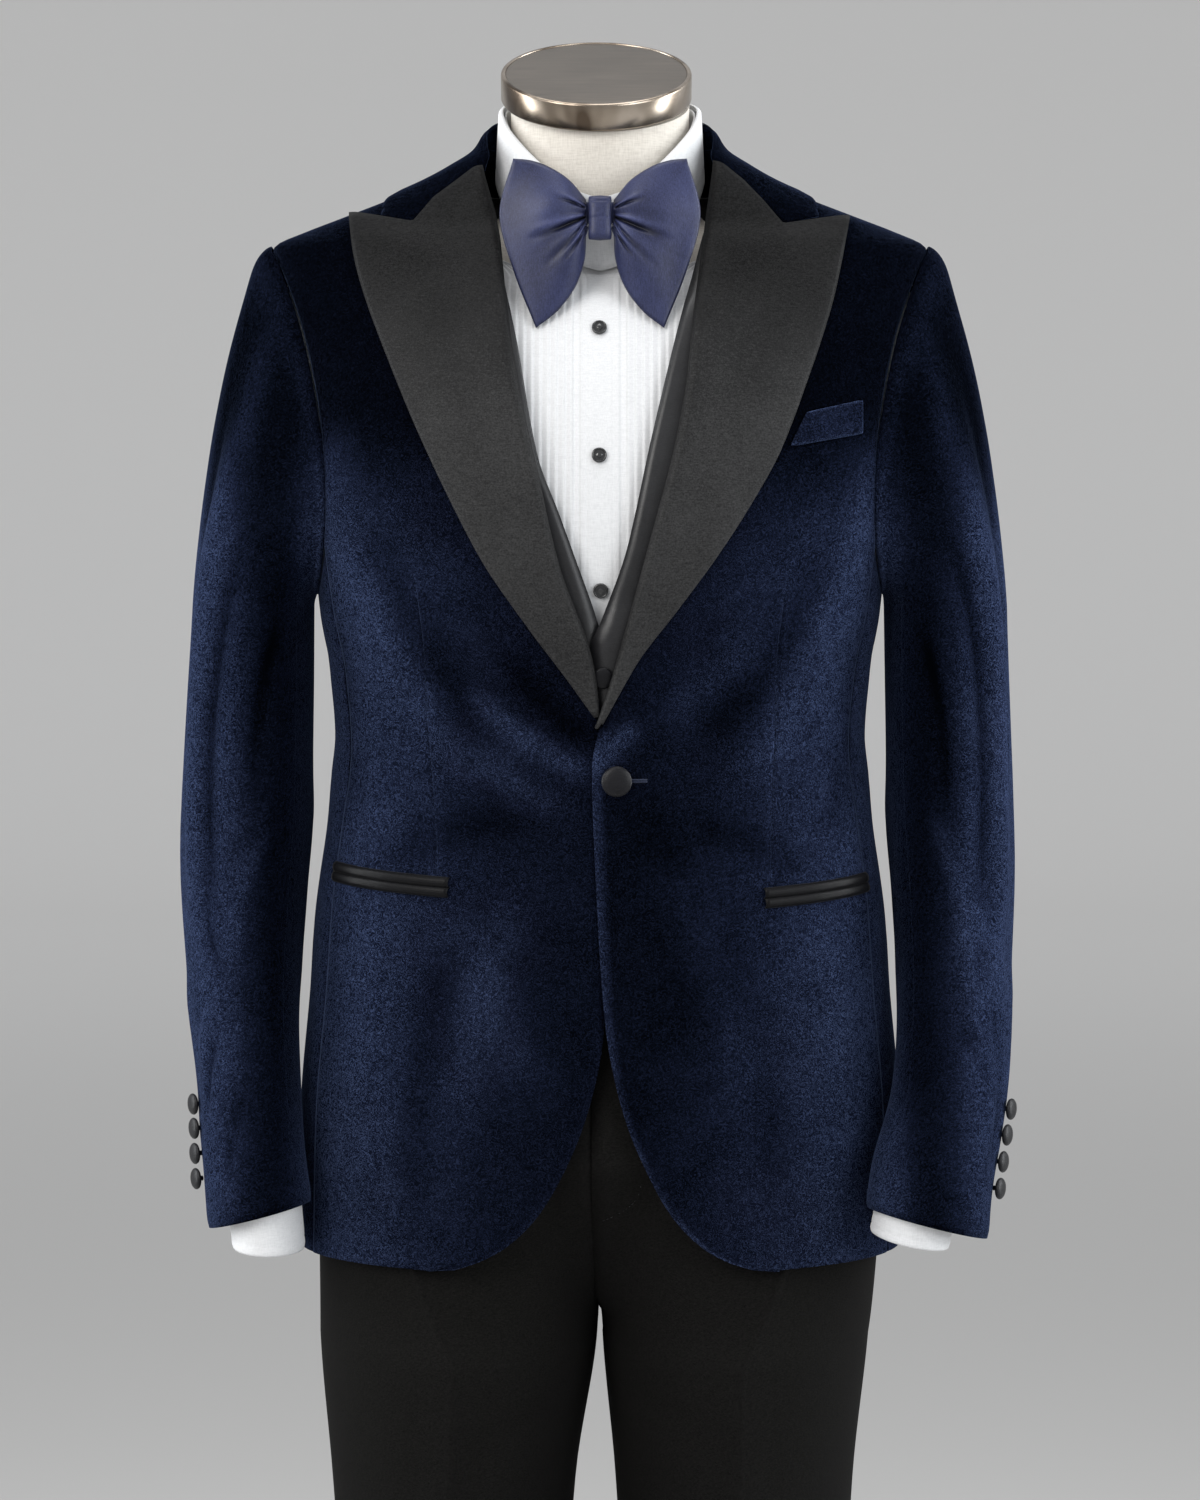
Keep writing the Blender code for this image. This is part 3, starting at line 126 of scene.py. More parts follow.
SHIRT_COLLAR = (           # turn, top, lower edge of the leaf
    (0, 1591, 1560), (14, 1596, 1549), (30, 1606, 1552), (60, 1630, 1582), (90, 1649, 1606),
    (130, 1658, 1614), (180, 1661, 1617),
)
Cuff = namedtuple("Cuff", "x y half_width half_depth bottom top fall lean")
SHIRT_CUFF = {LEFT: Cuff(209.5, -108, 26.5, 35, 906, 936, 0.19, 5),
              RIGHT: Cuff(224, -79, 24.5, 38, 895, 930, -0.04, 3)}
BOW_BASE_Y, BOW_LEAN, BOW_TIP = -81, 0.13, 1505
BOW_BOTTOM = ((9, 1566), (10, 1550), (16, 1532), (28, 1516), (42, 1505))
BOW_TOP = ((9, 1589), (20, 1602), (34, 1611), (46, 1615), (57, 1616))
BOW_SIDE = ((42, 1505), (57, 1543), (66, 1580), (57, 1616))
KNOT_BOTTOM, KNOT_TOP = 1562, 1592
TROUSER_SIDE = ((780, 19), (900, 14), (1000, 13), (1100, 12.6))     # height, inside the coat
LEG = {                    # height, centre x, centre y, half width, half depth
    LEFT: ((48, 95, 6, 55, 68), (300, 94, 4, 62, 74), (500, 93, 0, 69, 84),
           (640, 92.5, -2, 76, 96), (730, 92, -2, 81, 106), (826, 92.7, -1, 90.2, 119),
           (960, 95.5, 0, 94, 122)),
    RIGHT: ((48, 102, 6, 55, 68), (300, 101, 4, 62, 74), (500, 100, 0, 69, 84),
            (640, 100, -2, 77, 96), (730, 100, -2, 83, 106), (826, 96.5, -1, 94, 119),
            (960, 96.5, 0, 95, 122)),
}
TROUSER_HEM, CROTCH, FORK_TOP = 48, 826, 955
NECK_RINGS = (             # height, half width, half depth, centre y, tilt
    (1570, 86, 49, 12, 2), (1590, 63, 53, 9, 9), (1612, 60, 55, 5, 15), (1640, 60, 57, 2, 20),
    (1656, 60, 57, 1, 22),
)
FORM_BOTTOM, FORM_TOP = 965, 1560
CAP_TILT, CAP_PLACE, CAP_LIFT = 23.5, (-2.5, 0.0, 1659.0), 0.4
POST_X = 100.0
COAT_BUTTON, COAT_BUTTON_RADIUS, COAT_BUTTON_SHANK = (10.5, 1210.0), 10, 1.6     # x, height
SLEEVE_BUTTON_RADIUS, SLEEVE_BUTTON_SHANK, WAISTCOAT_BUTTON_RADIUS = 7.2, 3.4, 7
HOLE_START, HOLE_END, HOLE_HEIGHT, HOLE_HALF = 11.0, 30.0, 1210.2, 1.3
POCKET_HALF, LIP_RISE = 6.2, 1.7
WELT_X, WELT_HEIGHTS, WELT_HALF = (128, 170), (1439, 1447), 10.5
# the cloths' walls
COAT_WALL, COLLAR_WALL, LAPEL_WALL, SLEEVE_WALL, WELT_WALL, POCKET_WALL = 1.7, 1.5, 1.3, 1.5, 1, 0.7
WAISTCOAT_WALL, TROUSER_WALL, BOW_WALL, BOW_BAND_WALL = 1.2, 1.2, 2.4, 0.6
SHIRT_WALL, SHIRT_BACK_WALL, SHIRT_COLLAR_WALL, CUFF_WALL = 0.6, 0.7, 0.9, 1.1


# ---- reading the tables, for whole arrays ----------------------------------------------------
def table(rows, value):
    """Smooth curve through a table's rows at each value of its first column."""
    rows = np.array(rows, float)
    value = np.clip(np.asarray(value, float), rows[0, 0], rows[-1, 0])
    i = np.clip(np.searchsorted(rows[:, 0], value, side="left") - 1, 0, len(rows) - 2)
    low, high = rows[i], rows[i + 1]
    before, after = rows[np.maximum(i - 1, 0)], rows[np.minimum(i + 2, len(rows) - 1)]
    span = high[..., :1] - low[..., :1]
    k = (value[..., None] - low[..., :1]) / span
    slope_low = (high - before) / (high[..., :1] - before[..., :1]) * span
    slope_high = (after - low) / (after[..., :1] - low[..., :1]) * span
    return hermite(low, high, slope_low, slope_high, k)[..., 1:]


def hermite(start, end, leave, arrive, k):
    """Curve from start to end with a given slope at each."""
    return (start * (1 + 2 * k) * (1 - k) ** 2 + end * (3 - 2 * k) * k * k
            + leave * k * (1 - k) ** 2 - arrive * k * k * (1 - k))


def lengths(points):
    """Length of a polyline up to each of its points."""
    return np.concatenate([[0.0], np.cumsum(np.linalg.norm(np.diff(points, axis=0), axis=1))])


def along(points, k):
    """Points at fractions k of a polyline's length, on a smooth curve."""
    points = np.array(points, float)
    s = lengths(points)
    return table(np.column_stack([s, points]), np.asarray(k, float) * s[-1])


def at_stop(points, k):
    """Points at fractions k of a list, straight between its points."""
    points = np.array(points, float)
    stops = np.linspace(0, 1, len(points))
    return np.stack([np.interp(k, stops, points[:, c]) for c in range(points.shape[1])], -1)


def ease(low, high, value):
    """0 up to low, 1 from high on, soft between them."""
    k = np.clip((np.asarray(value, float) - low) / (high - low), 0.0, 1.0)
    return k * k * (3 - 2 * k)


def hump(away, width):
    """1 at no distance, falling off softly over the width."""
    return np.exp(-(away / width) ** 2)


def power(value, exponent):
    return np.copysign(np.abs(value) ** exponent, value)


def mix(a, b, k):
    return a + (b - a) * k


def figure(turn, height, out=0.0):
    """Points of the figure, moved out from the coat's inner face."""
    turn, height, out = np.broadcast_arrays(np.asarray(turn, float),
                                            np.asarray(height, float), out)
    size = table(COAT_SECTIONS, height)
    a = np.radians(turn)
    x = (size[..., 0] + out) * power(np.sin(a), 2 / ROUNDNESS)
    y = size[..., 2] - (size[..., 1] + out) * power(np.cos(a), 2 / ROUNDNESS)
    lift = SHOULDER_LIFT * ease(SHOULDER_START, SHOULDER_FULL, height)
    return np.stack([x, y, height + out * lift], -1)


def facing(turn, height, out):
    """Direction straight away from the figure."""
    across = figure(turn + 1, height, out) - figure(turn - 1, height, out)
    up = figure(turn, height + 4, out) - figure(turn, height - 4, out)
    normal = np.cross(across, up)
    return normal / np.linalg.norm(normal)


def turn_at(x, height):
    width = table(COAT_SECTIONS, height)[..., 0]
    ratio = np.minimum(np.abs(x) / width, 1.0)
    return np.copysign(np.degrees(np.arcsin(ratio ** (ROUNDNESS / 2))), x)


def armhole_turn(height, hole=COAT_ARMHOLE):
    ratio = np.minimum(np.abs(height - hole[0]) / hole[1], 1.0)
    return 90 - hole[2] * (1 - ratio ** ARMHOLE_ROUNDNESS) ** (1 / ARMHOLE_ROUNDNESS)


def seam_step(height, width=0.2):
    """Half of a seam's gap, as a turn."""
    return np.degrees(width / table(COAT_SECTIONS, height)[..., 0])


# ---- grids and soft folds --------------------------------------------------------------------
def grid_stops(rows, columns):
    """v up the rows and u along the columns, as two arrays of the grid's shape."""
    return np.meshgrid(np.linspace(0, 1, rows), np.linspace(0, 1, columns), indexing="ij")


def rows_of(*spans):
    """Heights from spans of (from, to, count), without repeats."""
    return np.unique(np.concatenate([np.linspace(a, b, n) for a, b, n in spans]))


def clustered(count, reach=0.02, fine=9):
    """Stops from 0 to 1 with a fine cluster at 0.5."""
    return np.unique(np.concatenate([np.linspace(0, 0.5 - reach, count),
                                     np.linspace(0.5 - reach, 0.5 + reach, fine),
                                     np.linspace(0.5 + reach, 1, count)]))


def warp(stops, line, height, first, last):
    """Column stops for each row, moved so that the cluster at 0.5 follows a line x(height)."""
    middle = ((turn_at(table(line, height)[:, 0], height) - first) / (last - first))[:, None]
    s = stops[None, :]
    return np.where(s < 0.5, s / 0.5 * middle, middle + (s - 0.5) / 0.5 * (1 - middle))


def panel(height, first, last, u):
    """Turns and heights of a grid between two edges, which are a turn for each height."""
    turn = mix(first[:, None], last[:, None], u)
    return turn, np.broadcast_to(height[:, None], turn.shape)


def folds(x, z, rows):
    """Sum of soft ridges and troughs, each along a slightly bowed line.

    A row is depth (+ is a ridge), half width, then x and height of both ends.
    """
    total = np.zeros_like(x)
    for depth, width, x0, z0, x1, z1 in rows:
        dx, dz = x1 - x0, z1 - z0
        length = math.hypot(dx, dz)
        s = ((x - x0) * dx + (z - z0) * dz) / length ** 2
        away = ((x - x0) * dz - (z - z0) * dx) / length
        away = away + 0.05 * length * np.sin(np.pi * np.clip(s, 0, 1))
        fade = hump(np.clip(np.abs(s - 0.5) - 0.32, 0, None), 0.2)
        total += depth * fade * hump(away, width)
    return total


def ripple(x, z, size, seed):
    """Low uneven waves of cloth, from a few fixed sines."""
    rng = np.random.default_rng(seed)
    total = np.zeros_like(x)
    for _ in range(7):
        a, phase = rng.uniform(0, 2 * math.pi, 2)
        k = 2 * math.pi / (size * rng.uniform(0.7, 1.6))
        total += np.sin(k * (x * math.cos(a) + z * math.sin(a) * 0.45) + phase)
    return total / 7


def push(points, amount):
    """Move a grid's points along its outward normals."""
    n = np.cross(np.gradient(points, axis=1), np.gradient(points, axis=0))
    n /= np.maximum(np.linalg.norm(n, axis=-1, keepdims=True), 1e-9)
    return points + n * amount[..., None]


def edge_roll(u, v, depth, near, edges):
    """Edges of a piece turned in a little, so that seams and hems read as soft edges."""
    total = np.zeros_like(u)
    for letter, way in (("l", u), ("r", 1 - u), ("b", v), ("t", 1 - v)):
        if letter in edges:
            total -= depth * hump(way, near)
    return total


# ---- making pieces --------------------------------------------------------------------------
def mesh_from(points, closed=False):
    rows, columns = points.shape[:2]
    grid = np.arange(rows * columns).reshape(rows, columns)
    right = np.roll(grid, -1, axis=1) if closed else grid[:, 1:]
    left = grid if closed else grid[:, :-1]
    quads = np.stack([left[:-1], right[:-1], right[1:], left[1:]], -1).reshape(-1, 4)
    mesh = bpy.data.meshes.new("cloth")
    mesh.from_pydata((points.reshape(-1, 3) * MM).tolist(), [], quads.tolist())
    mesh.shade_smooth()
    return mesh


def area_of(points, closed):
    """Area of a grid in square metres."""
    if closed:
        points = np.concatenate([points, points[:, :1]], axis=1)
    a, b = points[1:, 1:] - points[:-1, :-1], points[1:, :-1] - points[:-1, 1:]
    return float(np.linalg.norm(np.cross(a, b), axis=-1).sum() / 2) * 1e-6


def add_piece(name, mesh, material, nodes=()):
    obj = bpy.data.objects.new(name, mesh)
    bpy.context.scene.collection.objects.link(obj)
    obj.data.materials.append(MATERIALS[material])
    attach(obj, "root")
    if nodes:
        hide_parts(*nodes)
    return obj


def cloth(node, points, side, wall, slot, closed=False, offset=1.0,
          material=None, nodes=(), painted_shading=None):
    """A piece of cloth that stands for a node, with its wall."""
    node += SIDES[side]
    if side == RIGHT:
        points = points[:, ::-1] * MIRROR
        painted_shading = None if painted_shading is None else painted_shading[:, ::-1]
    obj = add_piece(node + "_cloth", mesh_from(points, closed), material or slot,
                    nodes or [node])
    # painted light and shade for each point, read by the velvet and satin materials
    if painted_shading is not None:
        layer = obj.data.attributes.new("painted_shading", "FLOAT", "POINT")
        layer.data.foreach_set("value", np.ascontiguousarray(painted_shading, dtype=np.float32).ravel())
    solid = obj.modifiers.new("Wall", "SOLIDIFY")
    solid.thickness = wall * MM
    solid.offset = offset
    across = np.linalg.norm(np.diff(points, axis=1), axis=-1).sum(axis=1).max() * MM
    up = np.linalg.norm(np.diff(points, axis=0), axis=-1).sum(axis=0).max() * MM
    area = np.clip(area_of(points, closed), 0.31 * across * up, across * up)


def lathe(profile, place, normal, sides):
    """Mesh turned on its own axis from (radius, height) pairs, standing on a place."""
    a = np.linspace(0, 2 * math.pi, sides, endpoint=False)
    rings = []
    for radius, height in profile:
        r = np.maximum(radius, 0.001)
        rings.append(np.stack([r * np.cos(a), r * np.sin(a), np.full_like(a, height)], -1))
    mesh = mesh_from(np.array(rings), closed=True)
    turn = Vector(normal).to_track_quat("Z", "Y").to_matrix().to_4x4()
    mesh.transform(Matrix.Translation(Vector(place) * MM) @ turn)
    return mesh


def turned(name, profile, place, normal, material, slot, nodes, sides=48):
    """Hard turned piece, with crisp edges."""
    mesh = lathe(profile, place, normal, sides)
    mesh.set_sharp_from_angle(angle=math.radians(50))
    add_piece(name, mesh, material, nodes)


BUTTON = (                 # radius over the button's, height over the shank's
    (0.0, 0.0), (0.24, 0.0), (0.2, 0.5), (0.24, 1.0), (0.7, 1.05), (0.95, 1.25), (1.0, 1.6),
    (0.97, 1.95), (0.86, 2.3), (0.66, 2.55), (0.4, 2.68), (0.0, 2.72),
)
BUTTON_SIDES, BUTTON_GATHERS = 40, 20


def covered_button(node, place, normal, radius, shank):
    """Cloth-covered dome on a thread shank, with gathers under its rim."""
    a = np.linspace(0, 2 * math.pi, BUTTON_SIDES, endpoint=False)
    profile = []
    for r, h in BUTTON:
        rise = shank * min(h, 1.0) + max(h - 1.0, 0) * 2.05
        gather = 1 + (0.02 * np.sin(a * BUTTON_GATHERS) if 1.0 < h < 2.0 else 0)
        profile.append((max(r, 0.001) * radius * gather, rise))
    add_piece(node + "_look", lathe(profile, place, normal, BUTTON_SIDES), "button_satin",
              [node])


# ---- coat ------------------------------------------------------------------------------------
COAT_OUT = 0.3                             # the coat's clearance from the figure
FRONT_ROWS = ((COAT_HEM, 905, 10), (905, 950, 12), (950, 1530, 96), (1530, COAT_NECK, 34))
BACK_ROWS = ((COAT_HEM, 1530, 92), (1530, 1600, 30), (1600, COAT_STAND_TOP, 12))
DART = {                   # height, x
    LEFT: ((887, 112), (1135, 112.5), (1225, 113), (1298, 117), (1350, 121.5), (1611, 121)),
    RIGHT: ((887, 106), (1140, 106.5), (1225, 110.5), (1298, 116), (1363, 121.5), (1611, 121)),
}
DART_BOTTOM, DART_TOP = 1142, 1360
BREAK_BOTTOM, BREAK_TOP = 1262, 1292       # the front's edge goes under the lapel here
COAT_CALM = (1560, 1600)                   # the folds die out towards the neck
FRONT_FOLDS = {
    LEFT: ((-2.2, 15, 150, 1360, 70, 1235), (1.8, 16, 165, 1330, 95, 1215),
           (-1.6, 12, 60, 1180, 130, 1150), (1.6, 16, 40, 1150, 105, 1000),
           (-1.8, 15, 75, 1110, 120, 930), (1.5, 14, 150, 1100, 160, 930),
           (-1.6, 13, 168, 1310, 150, 1170), (1.6, 12, 176, 1430, 160, 1330)),
    RIGHT: ((-2.2, 15, 150, 1370, 75, 1245), (1.9, 15, 160, 1340, 85, 1215),
            (-1.8, 13, 55, 1185, 140, 1155), (1.6, 15, 50, 1140, 90, 990),
            (-1.8, 15, 95, 1100, 125, 925), (1.4, 14, 150, 1110, 168, 940),
            (-1.7, 12, 170, 1300, 158, 1180), (1.7, 13, 172, 1440, 165, 1330)),
}
FRONT_PAINTED_SHADING = {              # as folds, but painted: painted highlight (+) or painted shade beside the button
    LEFT: ((0.55, 8, -2, 1216, 22, 1246), (-0.10, 20, 30, 1190, 60, 1040),
           (0.18, 14, 45, 1250, 110, 1300)),
    RIGHT: ((0.50, 9, 84, 1266, 8, 1214), (0.28, 12, 80, 1228, 20, 1190),
            (-0.16, 8, 60, 1290, 6, 1236), (0.16, 16, 95, 1120, 40, 1010)),
}
# strength of the painted highlight along each front's edge
RIM_HIGHLIGHT = {LEFT: 0.9, RIGHT: 0.4}
SIDE_FOLDS = ((-1.8, 9, -20, 1300, 15, 1180), (1.6, 10, 20, 1310, -10, 1190),
              (1.5, 10, 0, 1120, 10, 940))
BACK_FOLDS = ((-2.6, 16, 120, 1500, 60, 1400), (2.2, 17, 150, 1470, 95, 1360),
              (-2.0, 12, 20, 1250, 120, 1215), (1.8, 12, 30, 1215, 130, 1180),
              (-2.0, 14, 60, 1150, 80, 950), (1.8, 16, 110, 1140, 125, 930),
              (1.6, 14, 30, 1540, 35, 1420), (-1.5, 18, 70, 1590, 100, 1520))
BACK_DEPTH = {LEFT: 1.0, RIGHT: 0.8}
LAPEL_FOLDS = ((0.9, 16, 70, 1330, 110, 1480), (-0.8, 14, 95, 1560, 75, 1440))


def overlap_lift(side, x, height):
    """The left front stands over the right one round the button."""
    if side == RIGHT:
        return np.zeros_like(x)
    start, full, end, gone = OVERLAP_HEIGHTS
    band = ease(start, full, height) * (1 - ease(end, gone, height))
    return OVERLAP_LIFT * band * (1 - ease(OVERLAP_NEAR, OVERLAP_FAR, x))


def coat_front(side):
    """Front with its dart and its folds; painted highlights along its edge and its dart line, and
    painted light and shade on its folds and beside the button.
    """
    height = rows_of(*FRONT_ROWS)
    column = EDGE_COLUMN[side]
    hidden = 6.0 * ease(BREAK_BOTTOM, BREAK_TOP, height)
    first = turn_at(table(FRONT_EDGE, height)[:, column] + hidden, height)
    armhole = armhole_turn(height)
    last = np.where(height <= COAT_ARMHOLE[0], np.minimum(FRONT_SEAM, armhole), armhole)
    last = last - seam_step(height)
    u = warp(clustered(24), DART[side], height, first, last)
    turn, z = panel(height, first, last, u)
    v = np.broadcast_to(np.linspace(0, 1, len(height))[:, None], turn.shape)
    x = figure(turn, z)[..., 0]
    from_dart = x - table(DART[side], z)[..., 0]
    from_edge = x - table(FRONT_EDGE, z)[..., column]
    dart = ease(DART_BOTTOM - 6, DART_BOTTOM + 6, z) * (1 - ease(DART_TOP - 40, DART_TOP, z))
    amount = folds(x, z, FRONT_FOLDS[side]) + 0.55 * ripple(x, z, 120, 3 + side)
    amount -= 0.9 * dart * hump(from_dart, 1.1)
    amount += 0.5 * dart * hump(np.abs(from_dart) - 3.2, 2.0)
    amount = amount * (1 - ease(*COAT_CALM, z)) + edge_roll(u, v, 0.8, 0.02, "r")
    amount -= 0.9 * hump(from_edge, 3.0)
    # painted highlight along the front's edge, below the lapel
    rim = hump(from_edge - 1.2, 1.8) * (1 - ease(1225, 1250, z))
    # painted highlight on fold ridges and the dart line, painted shade in the troughs, and painted
    # streaks of light and shade beside the button
    painted_shading = 0.11 * amount + 0.55 * dart * hump(from_dart, 0.9)
    painted_shading += folds(x, z, FRONT_PAINTED_SHADING[side]) + RIM_HIGHLIGHT[side] * rim
    points = push(figure(turn, z, overlap_lift(side, x, z) + COAT_OUT), amount)
    cloth("coat_front", points, side, COAT_WALL, "velvet", painted_shading=painted_shading)


def coat_side(side):
    v, u = grid_stops(80, 26)
    turn = mix(FRONT_SEAM, BACK_SEAM, u) + seam_step(COAT_HEM) * (1 - 2 * u)
    reach = np.minimum(np.abs(turn - 90) / COAT_ARMHOLE[2], 1.0)
    drop = (1 - reach ** ARMHOLE_ROUNDNESS) ** (1 / ARMHOLE_ROUNDNESS)
    z = mix(COAT_HEM, COAT_ARMHOLE[0] - COAT_ARMHOLE[1] * drop, v)
    y = figure(turn, z)[..., 1]
    amount = folds(y, z, SIDE_FOLDS) + 0.5 * ripple(y, z, 110, 9)
    amount += edge_roll(u, v, 0.8, 0.04, "lrt") + edge_roll(u, v, 0.8, 0.012, "b")
    points = push(figure(turn, z, COAT_OUT), amount)
    # painted highlight on the fold ridges and painted shade in their troughs
    cloth("coat_side", points, side, COAT_WALL, "velvet", painted_shading=0.10 * amount)


def coat_back(side):
    height = rows_of(*BACK_ROWS)
    first = 180 - armhole_turn(height)
    first = np.where(height <= COAT_ARMHOLE[0], np.maximum(BACK_SEAM, first), first)
    v, u = grid_stops(len(height), 46)
    turn, z = panel(height, first + seam_step(height), np.full_like(height, 180), u)
    base = figure(turn, z, COAT_OUT)
    x = base[..., 0]
    amount = BACK_DEPTH[side] * folds(x, z, BACK_FOLDS) * (1 - ease(*COAT_CALM, z))
    amount += 0.6 * ripple(x, z, 130, 21 + side)
    amount += edge_roll(u, v, 0.8, 0.02, "l") + edge_roll(u, v, 0.8, 0.006, "b")
    amount -= 0.5 * hump(x, 2.0)
    # painted highlight on the fold ridges, painted shade in their troughs, and a darker line along the
    # centre seam
    painted_shading = 0.10 * amount - 0.3 * hump(x, 1.5)
    points = push(base, amount)
    points[:, -1, 0] = 0.02                # the two backs meet in the middle
    cloth("coat_back", points, side, COAT_WALL, "velvet", painted_shading=painted_shading)


def lapel(side):
    """Facing with a soft roll at its fold, a seam at the notch and a rounded edge."""
    top = np.array(LAPEL_TOP[side], float)
    v, u = grid_stops(96, 40)
    v = v ** 0.9
    inner = along(LAPEL_FOLD[side], v[:, 0])[:, None]
    outer = along(LAPEL_SIDE[side], v[:, 0])[:, None]
    peak = at_stop(top, u) - mix(top[0], top[-1], u[..., None])
    flat = mix(inner, outer, u[..., None]) + v[..., None] ** 3 * peak
    x, z = flat[..., 0], flat[..., 1]
    lift = (mix(1.2, LAPEL_OUT, ease(1244, 1275, z)) + overlap_lift(side, x, z)
            + LAPEL_ROLL_STAND * (1 - u) ** 2 * ease(1246, 1300, z)
            + LAPEL_PEAK_OUT * ease(1455, 1565, z))
    amount = folds(x, z, LAPEL_FOLDS) + 0.25 * ripple(x, z, 90, 31 + side)
    amount += edge_roll(u, v, 0.9, 0.03, "r") + edge_roll(u, v, 0.7, 0.015, "t")
    amount -= 3.6 * hump(u, 0.022)
    points = push(figure(turn_at(x, z), z, lift), amount)
    cloth("lapel", points, side, LAPEL_WALL, "lapel_satin")


def coat_collar():
    """Upper collar round the back of the neck, from gorge to gorge."""
    k = np.linspace(0, 1, 25)
    gorge = at_stop(COLLAR_GORGE, k)
    turns = np.linspace(COLLAR_STATIONS[0][0], 180, 90)
    lines = [np.column_stack([np.full(len(k), turn), mix(high, low, k)])
             for turn, (high, low) in zip(turns, table(COLLAR_STATIONS, turns))]
    first = np.column_stack([turn_at(gorge[:, 0], gorge[:, 1]), gorge[:, 1]])
    lines = [mix(first, lines[0], i / 8) for i in range(8)] + lines
    half = np.array(lines).transpose(1, 0, 2)
    v = np.broadcast_to(k[:, None], half.shape[:2])
    out = mix(3.0, 3.4, v) + 1.1 * np.sin(np.pi * v)
    out = mix(out, 2.7, 1 - ease(2, 16, np.arange(half.shape[1]))[None, :])
    out = out - 0.8 * hump(1 - v, 0.05) - 1.6 * hump(v, 0.06)
    half = figure(half[..., 0], half[..., 1], out)
    points = np.concatenate([half, half[:, -2::-1] * MIRROR], axis=1)[::-1]
    points = push(points, 0.3 * ripple(points[..., 0] + points[..., 1], points[..., 2], 60, 5))
    cloth("coat_collar", points, MIDDLE, COLLAR_WALL, "velvet")


def coat_button():
    x, z = np.array(COAT_BUTTON)
    turn, out = turn_at(x, z), 2.4 + overlap_lift(LEFT, x, z)
    covered_button("coat_button", figure(turn, z, out), facing(turn, z, out),
                   COAT_BUTTON_RADIUS, COAT_BUTTON_SHANK)


def buttonhole():
    """Worked hole beside the button: a low ridge of close thread round a dark slit."""
    v, u = grid_stops(17, 90)
    x, z = mix(HOLE_START, HOLE_END, u), HOLE_HEIGHT + mix(-HOLE_HALF, HOLE_HALF, v)
    across = np.abs(2 * v - 1)
    ridge = 0.9 * np.sqrt(np.maximum(1 - across ** 2, 0)) - 0.8 * hump(across, 0.22)
    ends = np.sqrt(np.clip(1 - np.clip((u - 0.9) / 0.1, 0, 1) ** 2, 0, 1))
    thread = 0.10 * np.sin(u * 90 * math.pi / 2.2)
    out = 2.2 + overlap_lift(LEFT, x, z) + ridge * ends + thread
    add_piece("buttonhole_thread", mesh_from(figure(turn_at(x, z), z, out)), "navy_thread")


# ---- sleeves ---------------------------------------------------------------------------------
SLEEVE_ARC = 0.9           # the folds' x is the section's angle times this: 0 is the front, 81 the side
SLEEVE_FOLDS = {
    LEFT: ((-4.5, 9, 8, 1360, 22, 1130), (3.2, 9, 28, 1400, 38, 1090),
           (-3.0, 8, 50, 1420, 58, 1200), (2.6, 9, 70, 1440, 72, 1100),
           (-2.6, 8, 45, 1170, 20, 1085), (2.2, 7, 10, 1120, 45, 1060),
           (-2.4, 9, 30, 1060, 60, 960), (2.0, 8, 60, 1080, 78, 950),
           (-2.4, 7, -25, 1300, -8, 1190), (2.4, 7, -20, 1180, 5, 1080),
           (-2.0, 6, 0, 1045, 30, 1010), (1.8, 9, 30, 1480, 22, 1400)),
    RIGHT: ((-4.2, 9, 12, 1350, 24, 1120), (3.4, 9, 34, 1410, 40, 1110),
            (-3.0, 8, 56, 1400, 60, 1180), (2.6, 9, 76, 1430, 74, 1120),
            (-2.6, 7, 40, 1150, 14, 1075), (2.6, 6, 20, 1060, 48, 1015),
            (-2.8, 6, 26, 1035, 52, 985), (2.0, 8, 64, 1070, 80, 960),
            (-2.2, 7, -28, 1310, -10, 1200), (2.2, 7, -22, 1170, 4, 1090),
            (-2.0, 7, 2, 1000, 22, 950), (1.8, 9, 34, 1470, 26, 1395)),
}
UNDER_FOLDS = ((-3.0, 9, 150, 1330, 165, 1180), (2.6, 9, 185, 1300, 175, 1130),
               (-2.4, 8, 215, 1290, 200, 1120), (2.2, 8, 160, 1120, 200, 1060),
               (-2.0, 8, 150, 1080, 190, 1010), (1.8, 8, 230, 1200, 235, 1050))


def ring_point(rings, angle, height, inset):
    """Place on the sleeve's section, sloped at the cuff."""
    size = table(rings, height)
    a = np.radians(angle)
    x = size[..., 0] + (size[..., 2] - inset) * np.sin(a)
    y = size[..., 1] - (size[..., 3] - inset) * np.cos(a)
    fade = 1 - ease(rings[0][0], CUFF_SLOPE_HEIGHT, height)
    drop = CUFF_DROP_SIDE * (x - size[..., 0]) + CUFF_DROP_BACK * (y - size[..., 1])
    return np.stack([x, y, height - drop * fade], -1)


def sleeve_head(rings, angle, k, inset, out, hole):
    """Fraction k of the way from the sleeve's top ring to the armhole."""
    a = np.radians(angle)
    height = hole[0] + hole[1] * power(np.sin(a), 2 / ARMHOLE_ROUNDNESS)
    turn = 90 - hole[2] * power(np.cos(a), 2 / ARMHOLE_ROUNDNESS)
    high = figure(turn, height, out)
    low = ring_point(rings, angle, np.full_like(angle, rings[-1][0]), inset)
    crown = np.maximum(np.sin(a), 0.0)
    zero = np.zeros_like(crown)
    climb = np.stack([-18 * crown, zero, np.maximum(high[..., 2] - low[..., 2], 6.0)], -1)
    arrive = np.stack([-22 * (0.4 + 2.2 * crown), zero, 20 * crown], -1)
    return hermite(low, high, climb, arrive, k[..., None])


def sleeve_points(rings, angles, height, head_rows, inset, out, hole):
    """Grid from the cuff to the armhole, with its flat places (arc, height)."""
    z, a = np.meshgrid(height, angles, indexing="ij")
    k, a2 = np.meshgrid(np.linspace(0, 1, head_rows + 1)[1:], angles, indexing="ij")
    points = np.concatenate([ring_point(rings, a, z, inset),
                             sleeve_head(rings, a2, k, inset, out, hole)])
    return points, np.concatenate([a, a2]) * SLEEVE_ARC, np.concatenate([z, height[-1] + k * 180])


